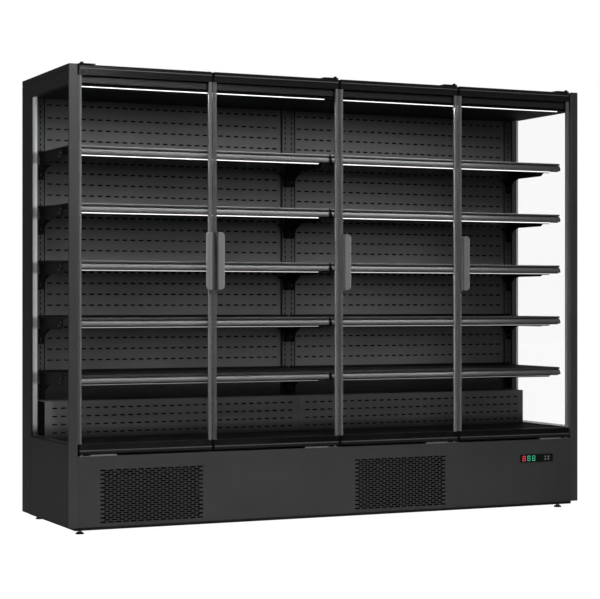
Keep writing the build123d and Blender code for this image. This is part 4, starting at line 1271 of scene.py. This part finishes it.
@dataclass
class RoofTop:
    """Joint strip and screw heads on the roof."""

    joint: Span = (-0.030, 0.030)
    joint_depths: Span = (0.120, 0.700)
    strip: float = 0.0012
    strip_edge: float = 0.0005
    screw_radius: float = 0.005
    screw_height: float = 0.0022
    screw_taper: float = 0.6
    screw_sides: int = 16
    screw_rows: Span = (0.060, 0.690)
    screw_columns: tuple = (-1.10, -0.75, -0.40, 0.20, 0.45, 0.90, 1.10)

    def build(self) -> None:
        """Builds the strip and the screws."""
        strip, screws = Shape("roof_joint_strip"), Shape("roof_screws")
        heights = (BODY_HEIGHT, BODY_HEIGHT + self.strip)
        strip.block(self.joint, self.joint_depths, heights, self.strip_edge)
        strip.finish(Paint.POWDER_COAT, "black_panel")
        for x in self.screw_columns:
            for depth in self.screw_rows:
                foot = Vector((x, depth, BODY_HEIGHT))
                top = raised(foot, self.screw_height)
                screws.rod(foot, top, self.screw_radius, self.screw_sides, self.screw_taper)
        screws.finish(Paint.ZINC, "zinc", smooth=True)


@dataclass
class LevellingFeet:
    """Six feet: a rubber pad, a nut and a threaded stem each."""

    places: tuple = (
        (-1.220, 0.070), (1.220, 0.070), (-1.220, 0.665),
        (1.220, 0.665), (0.0, 0.300), (0.0, 0.665),
    )
    pad_radius: float = 0.0185
    pad: tuple = ((0.0, 0.0036, 1.0), (0.0036, 0.009, 0.6))
    pad_sides: int = 32
    nut_radius: float = 0.0085
    nut: Span = (0.009, 0.0145)
    stem_radius: float = 0.005
    stem_sides: int = 16
    thread_root: float = 0.82
    thread_pitch: float = 0.0018
    thread_turns: int = 3

    def build(self) -> None:
        """Builds the feet in place of the CAD ones."""
        pads, stems = Shape("feet_pads"), Shape("feet_stems")
        root = self.stem_radius * self.thread_root
        for x, depth in self.places:
            floor = Vector((x, depth, -FLOOR_TO_BODY))
            for low, high, taper in self.pad:
                ends = raised(floor, low), raised(floor, high)
                pads.rod(*ends, self.pad_radius, self.pad_sides, taper)
            low, high = (raised(floor, height) for height in self.nut)
            stems.rod(low, high, self.nut_radius, 6)
            for turn in range(self.thread_turns):
                start = raised(high, turn * self.thread_pitch)
                crest = raised(start, self.thread_pitch / 2)
                end = raised(start, self.thread_pitch)
                stems.rod(start, crest, root, self.stem_sides, 1 / self.thread_root)
                stems.rod(crest, end, self.stem_radius, self.stem_sides, self.thread_root)
        pads.finish(Paint.RUBBER, "rubber", replaces="levelling_feet")
        stems.finish(Paint.ZINC, "zinc")


# ---- Controller ----
@dataclass
class Controller:
    """Display digits and key symbols of the controller.

    A key has its place and its symbol's corners, as shares of the symbol's half width. One
    without corners has a ring of dots.
    """

    left: float = 0.976
    middle: float = 0.216
    digit: Span = (0.017, 0.026)
    digit_pitch: float = 0.027
    digit_depths: Span = (-0.0002, 0.0004)
    stroke: float = 0.0034
    stroke_share: float = 0.4
    digits: tuple = (
        ("red_digit", Paint.RED),
        ("green_digit_1", Paint.GREEN),
        ("green_digit_2", Paint.GREEN),
    )
    keys: tuple = (
        (1.104, 0.2225, ((-1, -0.3), (1, -0.3), (1, 0.3), (-1, 0.3))),
        (1.122, 0.2225, ((-1, -0.8), (1, -0.8), (0, 0.9))),
        (1.104, 0.2095, ()),
        (1.122, 0.2095, ((-1, 0.8), (1, 0.8), (0, -0.9))),
    )
    key_face: float = -0.00075
    ink: float = 0.0002
    symbol: float = 0.0030
    dots: int = 6
    ring_share: float = 0.8
    dot_share: float = 0.28
    dot_sides: int = 8

    def build(self) -> None:
        """Builds the three lit digits and the symbols of the four keys."""
        for index, (name, paint) in enumerate(self.digits):
            shape = Shape(f"display_{name}")
            self._digit(shape, self.left + index * self.digit_pitch)
            shape.finish(paint, "display_window")
        ink = Vector((0, self.ink, 0))
        for index, (x, height, corners) in enumerate(self.keys, start=1):
            mark, middle = Shape(f"key_print_{index}"), Vector((x, self.key_face, height))
            if corners:
                mark.outline([middle + Vector((a, 0, b)) * self.symbol for a, b in corners], ink)
            else:
                for dot in range(self.dots):
                    angle = math.tau * dot / self.dots
                    way = Vector((math.cos(angle), 0, math.sin(angle)))
                    spot = middle + way * self.symbol * self.ring_share
                    mark.rod(spot, spot + ink, self.symbol * self.dot_share, self.dot_sides)
            mark.finish(Paint.PRINT, "key_white", body=f"key_{index}")

    def _digit(self, shape: Shape, left: float) -> None:
        """Adds a seven-segment digit with every segment lit.

        Args:
            shape: The mesh that takes it.
            left: X of its left side.
        """
        right, half, thin = left + self.digit[0], self.stroke / 2, self.stroke * self.stroke_share
        low, high = self.middle - self.digit[1] / 2, self.middle + self.digit[1] / 2
        for z in (high - half, self.middle, low + half):
            shape.block((left + half, right - half), self.digit_depths, (z - thin, z + thin))
        for x in (left + half, right - half):
            for bottom, top in ((self.middle, high), (low, self.middle)):
                heights = (bottom + half, top - half)
                shape.block((x - thin, x + thin), self.digit_depths, heights)


def main() -> None:
    """Loads the frame and builds every sub-assembly in order."""
    logging.basicConfig(level=logging.INFO, format="%(message)s")
    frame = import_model()
    nodes = frame["nodes"]
    Studio().build()
    LampStrips().build()
    CabinetBody().dress(nodes)
    for number in range(1, 5):
        GlassDoor(number).dress(nodes)
    walls = EndWall(-1, "end_wall_left"), EndWall(1, "end_wall_right"), RearWall()
    panels = BasePanel(), AirDuct(), LowerCovers(), ShelfUprights()
    for part in (*walls, RoofTop(), LevellingFeet(), *panels, Shelving(), Controller()):
        part.build()


if __name__ == "__main__":
    main()
